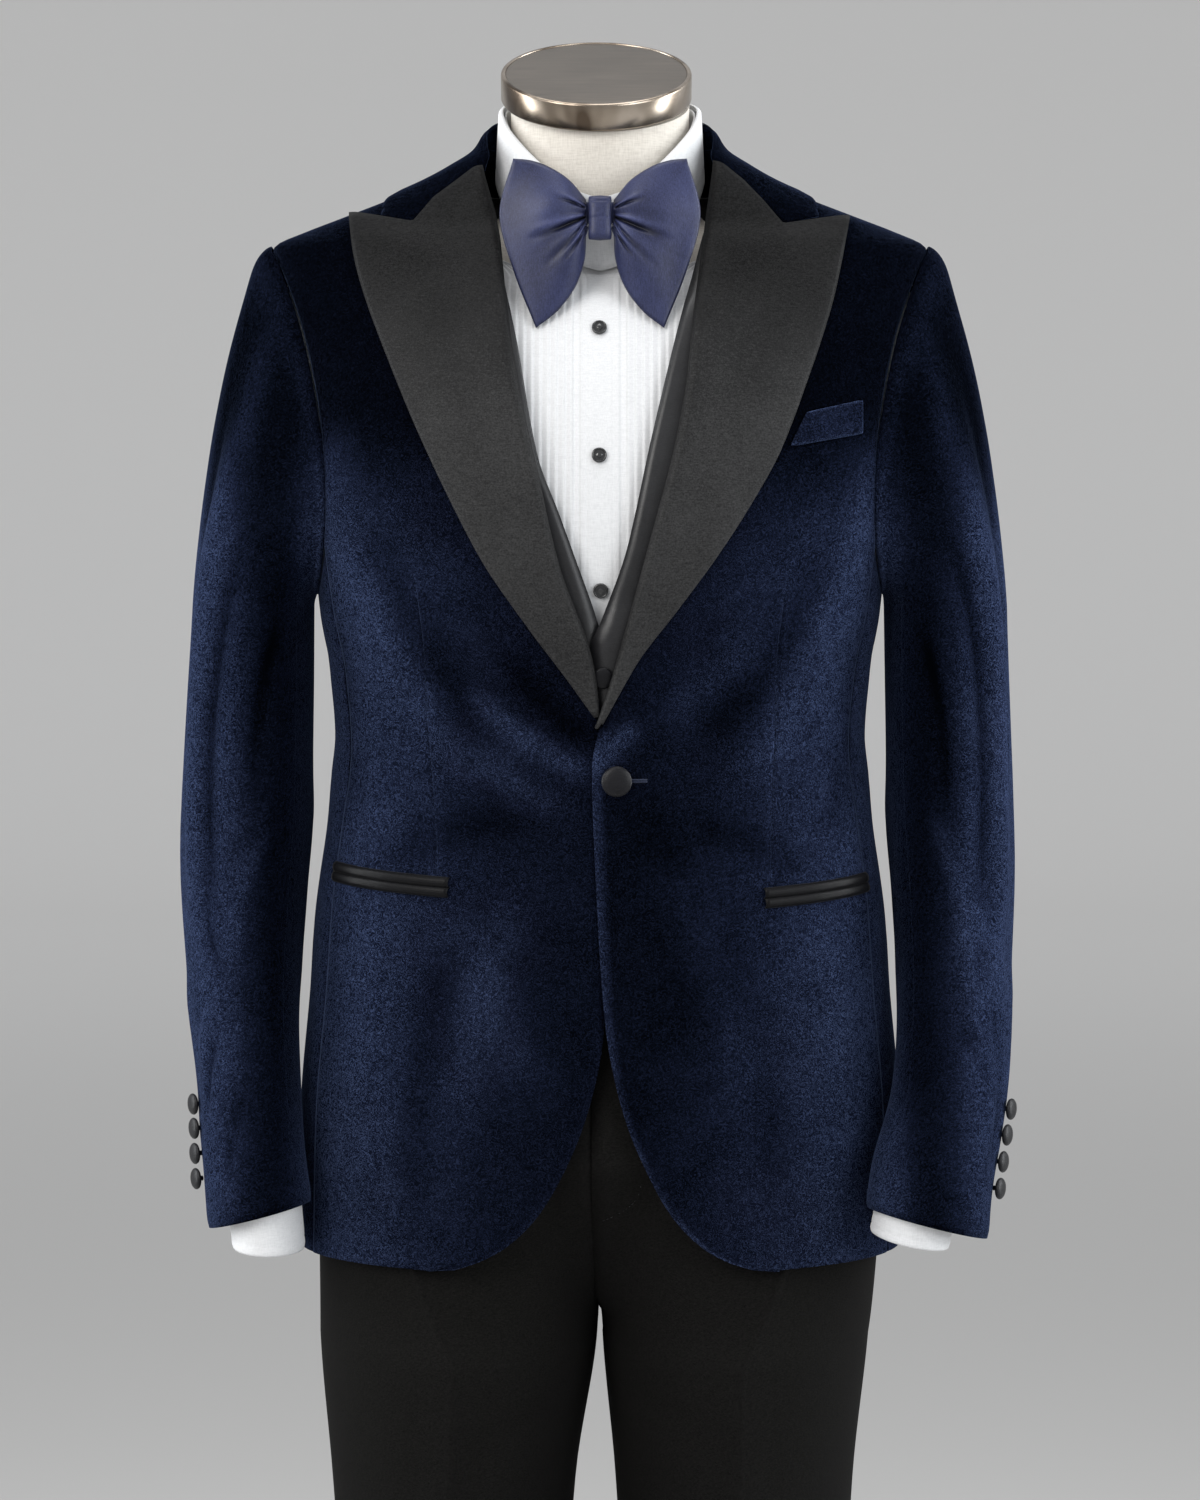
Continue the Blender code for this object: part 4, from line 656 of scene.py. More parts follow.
def sleeve(side):
    """Top and under sleeve: the front seam is pressed flat, the back seam stands a little."""
    rings = SLEEVE[side]
    gap, fine = 0.25, np.array([0.3, 0.8])   # fine: narrow columns that keep the seams crisp
    parts = (("top", SLEEVE_FRONT_SEAM, SLEEVE_BACK_SEAM - gap, 66, SLEEVE_FOLDS[side], "r"),
             ("under", SLEEVE_BACK_SEAM + gap, SLEEVE_FRONT_SEAM + 360, 50, UNDER_FOLDS, "l"))
    height = np.linspace(rings[0][0], rings[-1][0], 96)
    for part, start, end, columns, rows, back_seam in parts:
        angles = np.concatenate([[start], start + fine, np.linspace(start, end, columns)[1:-1],
                                 end - fine[::-1], [end]])
        points, x, z = sleeve_points(rings, angles, height, 44, 1.8, 2.4, COAT_ARMHOLE)
        u = np.broadcast_to((angles - start) / (end - start), x.shape)
        v = np.broadcast_to(np.linspace(0, 1, len(x))[:, None], x.shape)
        calm = (ease(0, 0.05, v) * (1 - ease(0.86, 0.99, v))
                * ease(0, 0.14, u if part == "top" else 1 - u))
        fullness = 1.6 * hump(v - 0.955, 0.03)       # just outside the armhole seam
        amount = (folds(x, z, rows) + 0.7 * ripple(x, z, 95, 41 + side)) * calm
        amount += edge_roll(u, v, 0.9, 0.02, back_seam) + edge_roll(u, v, 1.0, 0.006, "b")
        amount += fullness
        # painted highlight on the fold ridges and painted shade in their troughs
        cloth("sleeve_" + part, push(points, amount), side, SLEEVE_WALL, "velvet",
              painted_shading=0.09 * amount)


def sleeve_button(side, number, height):
    angle, height = np.array(float(SLEEVE_BUTTON_ANGLE)), np.array(float(height))
    place = ring_point(SLEEVE[side], angle, height, 0) + np.array([1.0, 0.0, 0.0])
    normal = np.array([math.cos(math.radians(30)), -math.sin(math.radians(30)), 0.0])
    mirror = np.array([side, 1.0, 1.0])
    covered_button(f"sleeve_button{SIDES[side]}_{number}", place * mirror, normal * mirror,
                   SLEEVE_BUTTON_RADIUS, SLEEVE_BUTTON_SHANK)


# ---- pockets ---------------------------------------------------------------------------------
def hip_pocket(side):
    """Two narrow satin lips that meet in a groove."""
    v, u = grid_stops(41, 40)
    place = mix(-1.0, 1.0, v)
    front_turn, front_height = HIP_POCKET[side]
    turn = mix(front_turn, HIP_POCKET_BACK, u)
    z = front_height + HIP_POCKET_RISE * u + place * POCKET_HALF
    lips = LIP_RISE * (1 - (np.abs(np.abs(place) - 0.5) / 0.5) ** 3) - 1.2 * hump(place, 0.06)
    points = figure(turn, z, 3.0 + lips + 0.15 * ripple(turn * 3, z, 30, 7))
    cloth("hip_pocket", points, side, POCKET_WALL, "lapel_satin",
          material="pocket_satin")


def breast_pocket():
    """Welt with a line along its top, and painted light over it, strongest as painted highlights round
    its edges.
    """
    v, u = grid_stops(24, 44)
    rise = mix(-WELT_HALF, WELT_HALF, v)
    z = mix(*WELT_HEIGHTS, u) + rise
    x = mix(*WELT_X, u) + 0.5 * rise * (1 - u)
    out = 2.7 + 1.7 * (1 - np.clip((2 * v - 1) ** 8, 0, 1)) * (1 - (2 * u - 1) ** 14)
    out -= 0.35 * hump(v - 0.93, 0.015)
    # painted light over the whole welt, with painted highlights at its lower and upper edges and its
    # outer end
    painted_shading = 0.35 + 0.5 * hump(v, 0.06) + 0.6 * hump(1 - v, 0.04) + 0.5 * hump(1 - u, 0.02)
    cloth("breast_pocket_welt", figure(turn_at(x, z), z, out), MIDDLE, WELT_WALL,
          "velvet", painted_shading=painted_shading)


# ---- waistcoat -------------------------------------------------------------------------------
WAISTCOAT_CROSS = (1304, 1330)             # above this the fronts no longer lap


def waistcoat_front(side):
    edge = WAISTCOAT_EDGE[side]
    height = np.linspace(1040, 1607, 90)
    first = turn_at(table(edge, height)[:, 0], height)
    last = np.minimum(armhole_turn(height, WAISTCOAT_ARMHOLE), 88) - seam_step(height)
    turn, z = panel(height, first, last, grid_stops(90, 36)[1])
    x = figure(turn, z)[..., 0]
    lap = WAISTCOAT_LAP if side == LEFT else 0.0
    lift = lap * (1 - ease(12, 50, x)) * (1 - ease(*WAISTCOAT_CROSS, z))
    amount = -0.35 * hump(x - table(edge, z)[..., 0], 1.2) + 0.4 * ripple(x, z, 80, 51 + side)
    points = push(figure(turn, z, WAISTCOAT_IN + lift + 0.2), amount)
    cloth("waistcoat_front", points, side, WAISTCOAT_WALL, "waistcoat_satin")


def plain_back(node, height, first, inside, wall, slot, seed):
    """A plain back piece from one side over the centre to the other."""
    turn, z = panel(height, first, 360 - first, grid_stops(len(height), 70)[1])
    amount = 0.35 * ripple(turn * 2.5, z, 110, seed)
    cloth(node, push(figure(turn, z, inside + 0.3), amount), MIDDLE, wall, slot)


def waistcoat_back():
    height = np.linspace(1050, 1603, 60)
    first = 180 - np.minimum(armhole_turn(height, WAISTCOAT_ARMHOLE), 88) + seam_step(height)
    first = np.where(height < WAISTCOAT_ARMHOLE[0], np.maximum(first - 4, 88.2), first)
    plain_back("waistcoat_back", height, first, WAISTCOAT_IN, WAISTCOAT_WALL,
               "waistcoat_satin", 61)


def waistcoat_button(number, height):
    out = WAISTCOAT_IN + 2.4 + WAISTCOAT_LAP * float(1 - ease(*WAISTCOAT_CROSS, height))
    place = figure(turn_at(np.array(2.0), np.array(float(height))), float(height), out)
    dome = ((0, 0), (0.8, 0), (1, 0.25), (0.98, 0.7), (0.85, 1.1), (0.5, 1.35), (0, 1.4))
    profile = [(WAISTCOAT_BUTTON_RADIUS * max(r, 0.001), h) for r, h in dome]
    node = f"waistcoat_button_{number}"
    add_piece(node + "_look", lathe(profile, place, facing(0.0, height, out), 36),
              "button_satin", [node])


# ---- shirt ------------------------------------------------------------------------------------
TUCK_PITCH, TUCK_FIRST, TUCK_LAST, TUCK_DEPTH = 5.2, 17.5, 66.0, 1.6   # beside the placket
PLACKET_HALF, PLACKET_RISE = 13.0, 0.9
SHIRT_TOP, COLLAR_STAND_HEIGHT = 1592, 48


def shirt_outer(height):
    """Turn of the shirt's side edge: the armhole, and the side seam below and above it."""
    turn = armhole_turn(height, SHIRT_ARMHOLE)
    return np.where(height > SHIRT_ARMHOLE[0], np.minimum(turn, 90), turn) - seam_step(height)


def shirt_point(turn, height, out):
    """Front of the shirt: near the middle its upper rows dip to the neckline."""
    x = np.abs(figure(turn, height, SHIRT_IN)[..., 0])
    dip = np.maximum(height - 1545, 0) * 0.65 * (1 - ease(30, 90, x))
    return figure(turn, height - dip, out)


def shirt_front():
    """Front with a raised placket and fine vertical tucks, each a small fold to the side."""
    height = rows_of((SHIRT_HEM, 1250, 16), (1250, SHIRT_TOP, 62))
    middle = np.arange(-70, 70.01, 0.8)
    columns = []
    for level, far in zip(height, shirt_outer(height)):
        inner = turn_at(middle, np.full_like(middle, level))
        outer = mix(inner[-1], far, np.linspace(0, 1, 18)[1:])
        columns.append(np.concatenate([-outer[::-1], inner, outer]))
    turn = np.array(columns)
    z = np.broadcast_to(height[:, None], turn.shape)
    x = figure(turn, z, SHIRT_IN)[..., 0]
    from_middle = np.abs(x)
    part = (from_middle - TUCK_FIRST) / TUCK_PITCH % 1
    tucked = (from_middle > TUCK_FIRST) & (from_middle < TUCK_LAST)
    tuck = np.where(tucked, TUCK_DEPTH * (1 - part) ** 0.8 * ease(0, 0.16, part), 0.0)
    edge = from_middle - PLACKET_HALF
    placket = PLACKET_RISE * (1 - ease(-0.7, 0.7, edge)) - 0.35 * hump(edge + 4.2, 0.7)
    soft = 0.42 * ripple(x, z, 130, 71) + 0.072 * ripple(x * 3, z, 60, 72)
    points = push(shirt_point(turn, z, SHIRT_IN + 0.1), tuck + placket + soft)
    cloth("shirt_front", points, MIDDLE, SHIRT_WALL, "shirt_cotton", offset=-1.0)


def shirt_back():
    height = np.linspace(SHIRT_HEM, SHIRT_TOP, 60)
    plain_back("shirt_back", height, 180 - shirt_outer(height), SHIRT_IN, SHIRT_BACK_WALL,
               "shirt_cotton", 75)


def neck_point(turn, height, out):
    a = np.radians(turn)
    centre = table(NECK_CENTRES, height)[..., 0]
    return np.stack([(NECK_HALF_WIDTH + out) * np.sin(a),
                     centre - (NECK_HALF_DEPTH + out) * np.cos(a), height], -1)


def neck_strip(node, turn, z, out, wall, slot):
    """A strip of cloth round the neck."""
    points = neck_point(np.broadcast_to(turn, z.shape), z, out)
    cloth(node, points, MIDDLE, wall, slot)


def collar_stand():
    turn = np.linspace(-178, 178, 120)
    v, _ = grid_stops(14, 120)
    z = table(SHIRT_COLLAR, np.abs(turn))[:, 0] - COLLAR_STAND_HEIGHT * (1 - v)
    out = mix(2.2, 1.0, v) + 0.15 * ripple(z, z, 20, 3)
    neck_strip("shirt_collar_stand", turn, z, out, SHIRT_COLLAR_WALL, "shirt_cotton")


def collar_leaf():
    """Leaf of the shirt's collar: it rolls over the stand, with an edge stitch."""
    turn = np.linspace(14, 346, 170)
    tall = table(SHIRT_COLLAR, np.where(turn <= 180, turn, 360 - turn))
    v, u = grid_stops(34, 170)
    up = np.clip(v / 0.8, 0, 1)
    over = np.clip((v - 0.8) / 0.2, 0, 1) * math.pi * 0.62
    z = mix(tall[:, 1], tall[:, 0] + 0.3, up) + 1.7 * np.sin(over)
    out = mix(7.8, 5.4, up) - 1.7 * (1 - np.cos(over)) - 0.3 * hump(v - 0.16, 0.02)
    ends = np.minimum(u, 1 - u)
    out = out - 0.3 * hump(ends - 0.014, 0.003) + 0.8 * hump(ends, 0.05)
    neck_strip("shirt_collar_leaf", turn, z, out, SHIRT_COLLAR_WALL, "shirt_cotton")


def shirt_sleeve(side):
    """One tube of cloth, for the two lengths of the solid."""
    cuff = SHIRT_CUFF[side]
    rings = [(cuff.top + 2, cuff.x, cuff.y, cuff.half_width + 1, cuff.half_depth + 1)]
    for height, x, y, width, depth in SLEEVE[side][2:]:
        inset = 7.5 + 3.5 * float(ease(1250, 1318, height))
        rings.append((height, x, y, width - inset, depth - inset - 1))
    angles = np.linspace(-180, 180, 41)[:-1]
    height = np.linspace(rings[0][0], rings[-1][0], 40)
    points, _, _ = sleeve_points(rings, angles, height, 9, 0.0, SHIRT_IN + 2.5, SHIRT_ARMHOLE)
    points[:len(height), :, 2] = height[:, None]         # no slope at the cuff
    nodes = [f"shirt_sleeve_{part}{SIDES[side]}" for part in ("upper", "lower")]
    cloth("shirt_sleeve", points, side, SHIRT_WALL, "shirt_cotton", closed=True, nodes=nodes)


def shirt_cuff(side):
    """Stiff cuff, turned back once: a rounded lower edge and a stitched line."""
    cuff = SHIRT_CUFF[side]
    angles = np.radians(np.linspace(-180, 180, 91)[:-1])
    k, a = np.meshgrid(np.linspace(0, 1, 26), angles, indexing="ij")
    inset = 0.7 * hump(k, 0.05) + 0.3 * hump(k - 0.2, 0.03) - 0.5 * np.sin(a * 2 + 0.6) * (1 - k)
    x = cuff.x - cuff.lean * (1 - k) + (cuff.half_width - inset) * np.sin(a)
    y = cuff.y - (cuff.half_depth - inset) * np.cos(a)
    z = mix(cuff.bottom, cuff.top, k) - cuff.fall * cuff.half_width * np.sin(a) * (1 - k)
    cloth("shirt_cuff", np.stack([x, y, z], -1), side, CUFF_WALL, "shirt_cotton",
          closed=True, offset=-1.0)


def stud(number, x, height):
    """Black stud: a dished disc with a rim, and a small square in its middle."""
    out = SHIRT_IN + 1.4
    place = figure(turn_at(np.array(x), np.array(height)), height, out)
    normal = facing(0.0, height, out)
    disc = ((0, 0), (4.2, 0), (4.8, 0.35), (5.0, 0.9), (4.95, 1.6), (4.6, 2.1), (4.2, 2.2),
            (3.8, 2.0), (3.6, 1.5), (2.5, 1.45), (0, 1.5))
    square = ((0, 1.8), (2.3, 1.8), (2.2, 2.5), (1.7, 2.7), (0, 2.7))
    node = f"shirt_stud_{number}"
    turned(node + "_look", disc, place, normal, "stud_black", "stud_black", [node])
    turned(node + "_square", square, place, normal, "stud_black", "stud_black", [], 4)


# ---- bow tie ----------------------------------------------------------------------------------
BOW_PLEATS = (             # place at the knot, climb, width, depth, reach
    (0.52, -0.04, 0.024, 3.6, 0.85), (0.75, 0.03, 0.022, 2.6, 0.50),
    (0.28, -0.06, 0.022, 2.6, 0.55), (0.40, -0.14, 0.030, 1.5, 0.80),
)


def between(low, high, left, right):
    """Flat grid spanned between its four edges."""
    u, v = np.linspace(0, 1, len(low))[:, None], np.linspace(0, 1, len(left))[:, None, None]
    straight = mix(mix(low[0], low[-1], u), mix(high[0], high[-1], u), v)
    return mix(low, high, v) + mix(left[:, None], right[:, None], u) - straight


def bow_creases(u, v):
    """Pleats as troughs with a low ridge beside each, and a hem along the open edges."""
    total = np.zeros_like(u)
    for start, climb, width, depth, reach in BOW_PLEATS:
        line = v - start - climb * u
        fade = ease(0, 0.06, u) * (1 - ease(0.25 * reach, reach, u))
        total += depth * fade * (hump(line, width) - 0.45 * hump(line - 2.1 * width, 1.3 * width))
    hem = np.minimum(np.minimum(v, 1 - v), (1 - u) * 0.8)
    return total + 0.8 * hump(hem, 0.012)


def bow_wing(side):
    """One side of the bow: pleats that open from the knot and fade towards its edges."""
    v, u = grid_stops(120, 60)
    inner = np.array([BOW_BOTTOM[0], BOW_TOP[0]], float)
    flat = between(along(BOW_BOTTOM, u[0]), along(BOW_TOP, u[0]), at_stop(inner, v[:, 0]),
                   along(BOW_SIDE, v[:, 0]))
    x, z = flat[..., 0], flat[..., 1]
    pleat = 2.5 * np.cos(2 * math.pi * (2 * v - 0.5)) * (1 - u) ** 1.5
    full = 7 * np.sin(np.pi * u ** 0.85) * np.sin(np.pi * v) ** 0.6
    crease = bow_creases(u, v)
    wave = 1.2 * ripple(x, z, 30, 81 + side)
    y = (BOW_BASE_Y - 3 + BOW_LEAN * (z - BOW_TIP) - full - pleat + crease
         + wave * ease(0, 0.2, u))
    # painted shade in the pleats' troughs, the waves' hollows, along the hems and next to the knot;
    # painted highlight on the low ridge beside each pleat
    painted_shading = -0.36 * crease - 0.22 * wave - 0.35 * hump(u, 0.10)
    cloth("bow_wing", np.stack([x, y, z], -1), side, BOW_WALL, "bow_satin",
          offset=-1.0, painted_shading=painted_shading)


def bow_knot():
    """Band drawn round the middle of the bow, with a soft fold across it."""
    k, a = np.meshgrid(np.linspace(0, 1, 44), np.linspace(0, 2 * math.pi, 72, endpoint=False),
                       indexing="ij")
    z = mix(KNOT_BOTTOM + 0.2, KNOT_TOP - 0.2, k)
    ends = (1 - np.abs(2 * k - 1) ** 7) ** 0.5
    width = (8.2 - 0.9 * np.sin(np.pi * k)) * np.where(ends < 0.02, 0.05, 1)
    x = width * (0.72 + 0.28 * ends) * power(np.sin(a), 0.62)
    fold = 0.35 * hump(k - 0.52 - 0.006 * x, 0.045) + 0.5 * hump(k - 0.88, 0.03)
    y = (BOW_BASE_Y - 4 + BOW_LEAN * (z - BOW_TIP)
         - 5.6 * np.maximum(ends, 0.03) * power(np.cos(a), 0.62)
         + fold * np.maximum(np.cos(a), 0.0))
    add_piece("bow_knot_look", mesh_from(np.stack([x, y, z], -1), closed=True),
                        "bow_satin", ["bow_knot"])


def bow_band():
    turn = np.linspace(-176, 176, 120)
    v, _ = grid_stops(8, 120)
    z = table(SHIRT_COLLAR, np.abs(turn))[:, 0] - 12 + mix(-7.0, 7.0, v)
    neck_strip("bow_band", turn, z, 3.5, BOW_BAND_WALL, "bow_satin")


# ---- trousers ---------------------------------------------------------------------------------
TROUSER_ROWS = ((TROUSER_HEM, 70, 8), (70, 780, 50), (780, 1062, 46))
WAISTBAND_BOTTOM, WAISTBAND_TOP = 1064.0, 1100.0
TROUSER_FOLDS = {          # of a front; the back has the other side's
    LEFT: ((-2.0, 12, 8, 862, 70, 980), (1.6, 11, 30, 880, 95, 1000),
           (-1.8, 14, 20, 800, 90, 740), (1.6, 13, 40, 770, 120, 700),
           (-1.5, 14, 60, 560, 130, 500), (1.4, 13, 40, 430, 120, 380),
           (-1.6, 12, 60, 110, 130, 85), (1.4, 12, 55, 150, 125, 120)),
    RIGHT: ((-2.2, 12, 8, 855, 75, 990), (1.6, 12, 35, 870, 100, 985),
            (-1.6, 13, 25, 790, 100, 730), (1.5, 13, 45, 760, 125, 690),
            (-1.5, 13, 60, 540, 135, 470), (1.4, 14, 45, 400, 130, 350),
            (-1.6, 12, 60, 120, 130, 92), (1.4, 12, 60, 160, 125, 135)),
}
FLY_SEAM = ((27, 1050), (27, 1000), (27, 955), (26, 937), (20, 927), (8, 918.5), (-5, 912.5))
STITCH_PITCH, STITCH_LENGTH, STITCH_RADIUS, STITCH_SIDES = 3.2, 2.3, 0.24, 6


def leg_point(rings, turn, height):
    """Place on a leg, which is pressed to a crease in front and behind."""
    size = table(rings, height)
    a = np.radians(turn)
    x = size[..., 0] + size[..., 2] * power(np.sin(a), 2 / LEG_ROUNDNESS)
    y = size[..., 1] - size[..., 3] * power(np.cos(a), 2 / LEG_ROUNDNESS)
    y = y - 5.0 * hump(turn, 9.0) + 5.0 * hump(turn - 180, 9.0)
    return np.stack([np.maximum(x, 0.4), y, height], -1)


def trouser_panel(side, front):
    """Half of a leg, from the hem to the waistband, pressed along its middle."""
    stops = clustered(20, 0.03, 13)
    u, z = np.meshgrid(0.002 + 0.996 * (stops if front else stops[::-1]), rows_of(*TROUSER_ROWS))
    leg_turn, hip_turn = mix(-90, 90, u), 90 * u
    if not front:
        leg_turn, hip_turn = 180 - leg_turn, 180 - hip_turn
    hip = figure(hip_turn, np.maximum(z, 880), -table(TROUSER_SIDE, z)[..., 0])
    hip[..., 2] = z
    hip[..., 0] = np.maximum(hip[..., 0], 0.4)
    k = np.clip((z - CROTCH) / (FORK_TOP - CROTCH), 0, 1) ** 0.7
    points = mix(leg_point(LEG[side], leg_turn, z), hip, k[..., None])
    seam = (u > 0.99) | ((u < 0.01) & (z <= CROTCH + 1))     # edges that just overlap
    points[..., 1] += np.where(seam, 0.25 if front else -0.25, 0.0)
    from_edge = np.minimum(u, 1 - u)
    soft = folds(points[..., 0], z, TROUSER_FOLDS[side if front else -side])
    soft += 0.6 * ripple(points[..., 0] * 1.2, z, 140, 91 + side + 2 * front)
    amount = soft * ease(0, 0.05, from_edge)
    amount += 1.3 * hump(u - 0.5, 0.009) * (1 - ease(900, 1050, z))
    amount -= 0.5 * hump(from_edge, 0.008) + 0.8 * hump(z - TROUSER_HEM, 3.0)
    if front and side == LEFT:
        amount -= 0.7 * hump(away_from(FLY_SEAM, points) - 0.8, 1.0)
    points = push(points, amount)
    points[..., 0] = np.maximum(points[..., 0], 0.3)
    if side == LEFT:                                         # laps over the right at the fork
        lap = (1 - ease(0, 26, points[..., 0])) * ease(840, 858, z)
        points[..., 0] -= (7.0 if front else 2.5) * lap
        points[..., 1] += (-1.7 if front else 1.4) * lap
    cloth("trouser_front" if front else "trouser_back", points, side, TROUSER_WALL,
          "trouser_wool")
    if front and side == LEFT:
        fly_stitch(points)


def waistband():
    v, u = grid_stops(6, 120)
    points = figure(mix(1.0, 359.0, u), mix(WAISTBAND_BOTTOM, WAISTBAND_TOP, v),
                    WAISTBAND_IN + 0.1)
    cloth("waistband", points, MIDDLE, TROUSER_WALL, "trouser_wool")


def away_from(line, points):
    """Distance in front view from a grid's points to a curve."""
    flat = along(line, np.linspace(0, 1, 60))
    x, z = points[..., 0, None] - flat[:, 0], points[..., 2, None] - flat[:, 1]
    return np.sqrt((x * x + z * z).min(axis=-1))


def stitches(name, path, material):
    """A run of thread along a path in front, one short spindle for each stitch."""
    s = lengths(path)
    a = 2 * math.pi * np.arange(STITCH_SIDES)[:, None] / STITCH_SIDES
    verts, faces = [], []
    for stop in np.arange(STITCH_PITCH / 2, s[-1], STITCH_PITCH):
        start, middle, end = [
            np.array([np.interp(stop + d, s, path[:, c]) for c in range(3)])
            for d in (-STITCH_LENGTH / 2, 0.0, STITCH_LENGTH / 2)]
        way = (end - start) / np.linalg.norm(end - start)
        side = np.cross(way, (0.0, -1.0, 0.0))
        side /= np.linalg.norm(side)
        ring = middle + STITCH_RADIUS * (np.cos(a) * side + np.sin(a) * np.cross(side, way))
        first = len(verts)
        last = first + STITCH_SIDES + 1
        verts += [start, *ring, end]
        for here in range(first + 1, last):
            there = here + 1 if here + 1 < last else first + 1
            faces += [(first, there, here), (last, here, there)]
    mesh = bpy.data.meshes.new(name)
    mesh.from_pydata((np.array(verts) * MM).tolist(), [], faces)
    mesh.shade_smooth()
    add_piece(name, mesh, material)


def fly_stitch(points):
    """Curved row of stitches beside the fly, just off the cloth's own points."""
    near = points.reshape(-1, 3)
    path = []
    for x, z in along(FLY_SEAM, np.linspace(0, 1, 80)):
        away = (near[:, 0] - x) ** 2 + ((near[:, 2] - z) * 0.7) ** 2
        four = np.argsort(away)[:4]
        path.append((x, np.average(near[four, 1], weights=1 / (away[four] + 0.3)) - 1.35, z))
    stitches("fly_stitching", np.array(path), "trouser_thread")


# ---- dress form and stand ---------------------------------------------------------------------
def dress_form():
    """Smooth linen body with its leaning neck."""
    turns = np.linspace(0, 360, 121)[:-1]
    a = np.radians(turns)
    rings = []
    for height in np.linspace(FORM_BOTTOM, FORM_TOP, 14):
        ring = figure(turns, np.full_like(turns, height), FORM_IN)
        rings.append(ring - np.array([0, 0, 8 * float(ease(1500, 1560, height))]))
    for height, width, depth, y, tilt in NECK_RINGS:
        back, lean = -depth * np.cos(a), math.radians(tilt)
        rings.append(np.stack([width * np.sin(a), y + back * math.cos(lean),
                               height + back * math.sin(lean)], -1))
    rings = np.array(rings)
    rows = np.column_stack([np.arange(len(rings)), rings.reshape(len(rings), -1)])
    points = table(rows, np.linspace(0, len(rings) - 1, 120)).reshape(120, -1, 3)
    bottom = points[0] * np.array([0.02, 0.02, 1.0])
    top = mix(points[-1], points[-1].mean(axis=0), 0.97)
    points = np.concatenate([bottom[None], points, top[None]])
    obj = add_piece("dress_form_cover", mesh_from(points, closed=True), "linen",
                    ["dress_form"])
    obj.data.set_sharp_from_angle(angle=math.radians(50))


def neck_cap():
    """Polished rim and brushed top, which lies a little below it."""
    lean = math.radians(CAP_TILT)
    normal = np.array([0.0, -math.sin(lean), math.cos(lean)])
    place = np.array(CAP_PLACE) + normal * CAP_LIFT
    rim = ((0, 0), (61.5, 0), (63.3, 0.5), (64, 1.8), (64, 17.2), (63.7, 18.2), (63.0, 18.8),
           (62.0, 19.0), (61.2, 19.0), (60.9, 18.8), (60.8, 18.2))
    top = ((61.2, 17.8), (60.6, 18.5), (59.8, 18.6), (30, 18.6), (0, 18.6))
    turned("neck_cap_band", rim, place, normal, "steel_polished", "steel", ["neck_cap"], 160)
    turned("neck_cap_top", top, place, normal, "steel_brushed", "steel", [], 160)


def stand():
    """Round foot, and two posts with a collar each."""
    foot = ((0, 0), (187, 0), (189.2, 0.8), (190, 3), (190, 9), (189.2, 11), (187, 12),
            (40, 12), (0, 12))
    post = ((0, 12.4), (12.1, 12.4), (12.5, 12.8), (12.5, 964.2), (12.1, 964.6), (0, 964.6))
    collar = ((12.6, 12.2), (20, 12.2), (20, 19), (18.6, 20.6), (12.6, 20.6))
    steel = ("stand_steel", "stand_steel")
    up = (0.0, 0.0, 1.0)
    turned("stand_foot", foot, (0, 0, 0), up, *steel, ["stand_base"], 160)
    for side in (LEFT, RIGHT):
        name = "stand_post" + SIDES[side]
        turned(name + "_look", post, (side * POST_X, 0, 0), up, *steel, [name])
        turned(name + "_collar", collar, (side * POST_X, 0, 0), up, *steel, [])


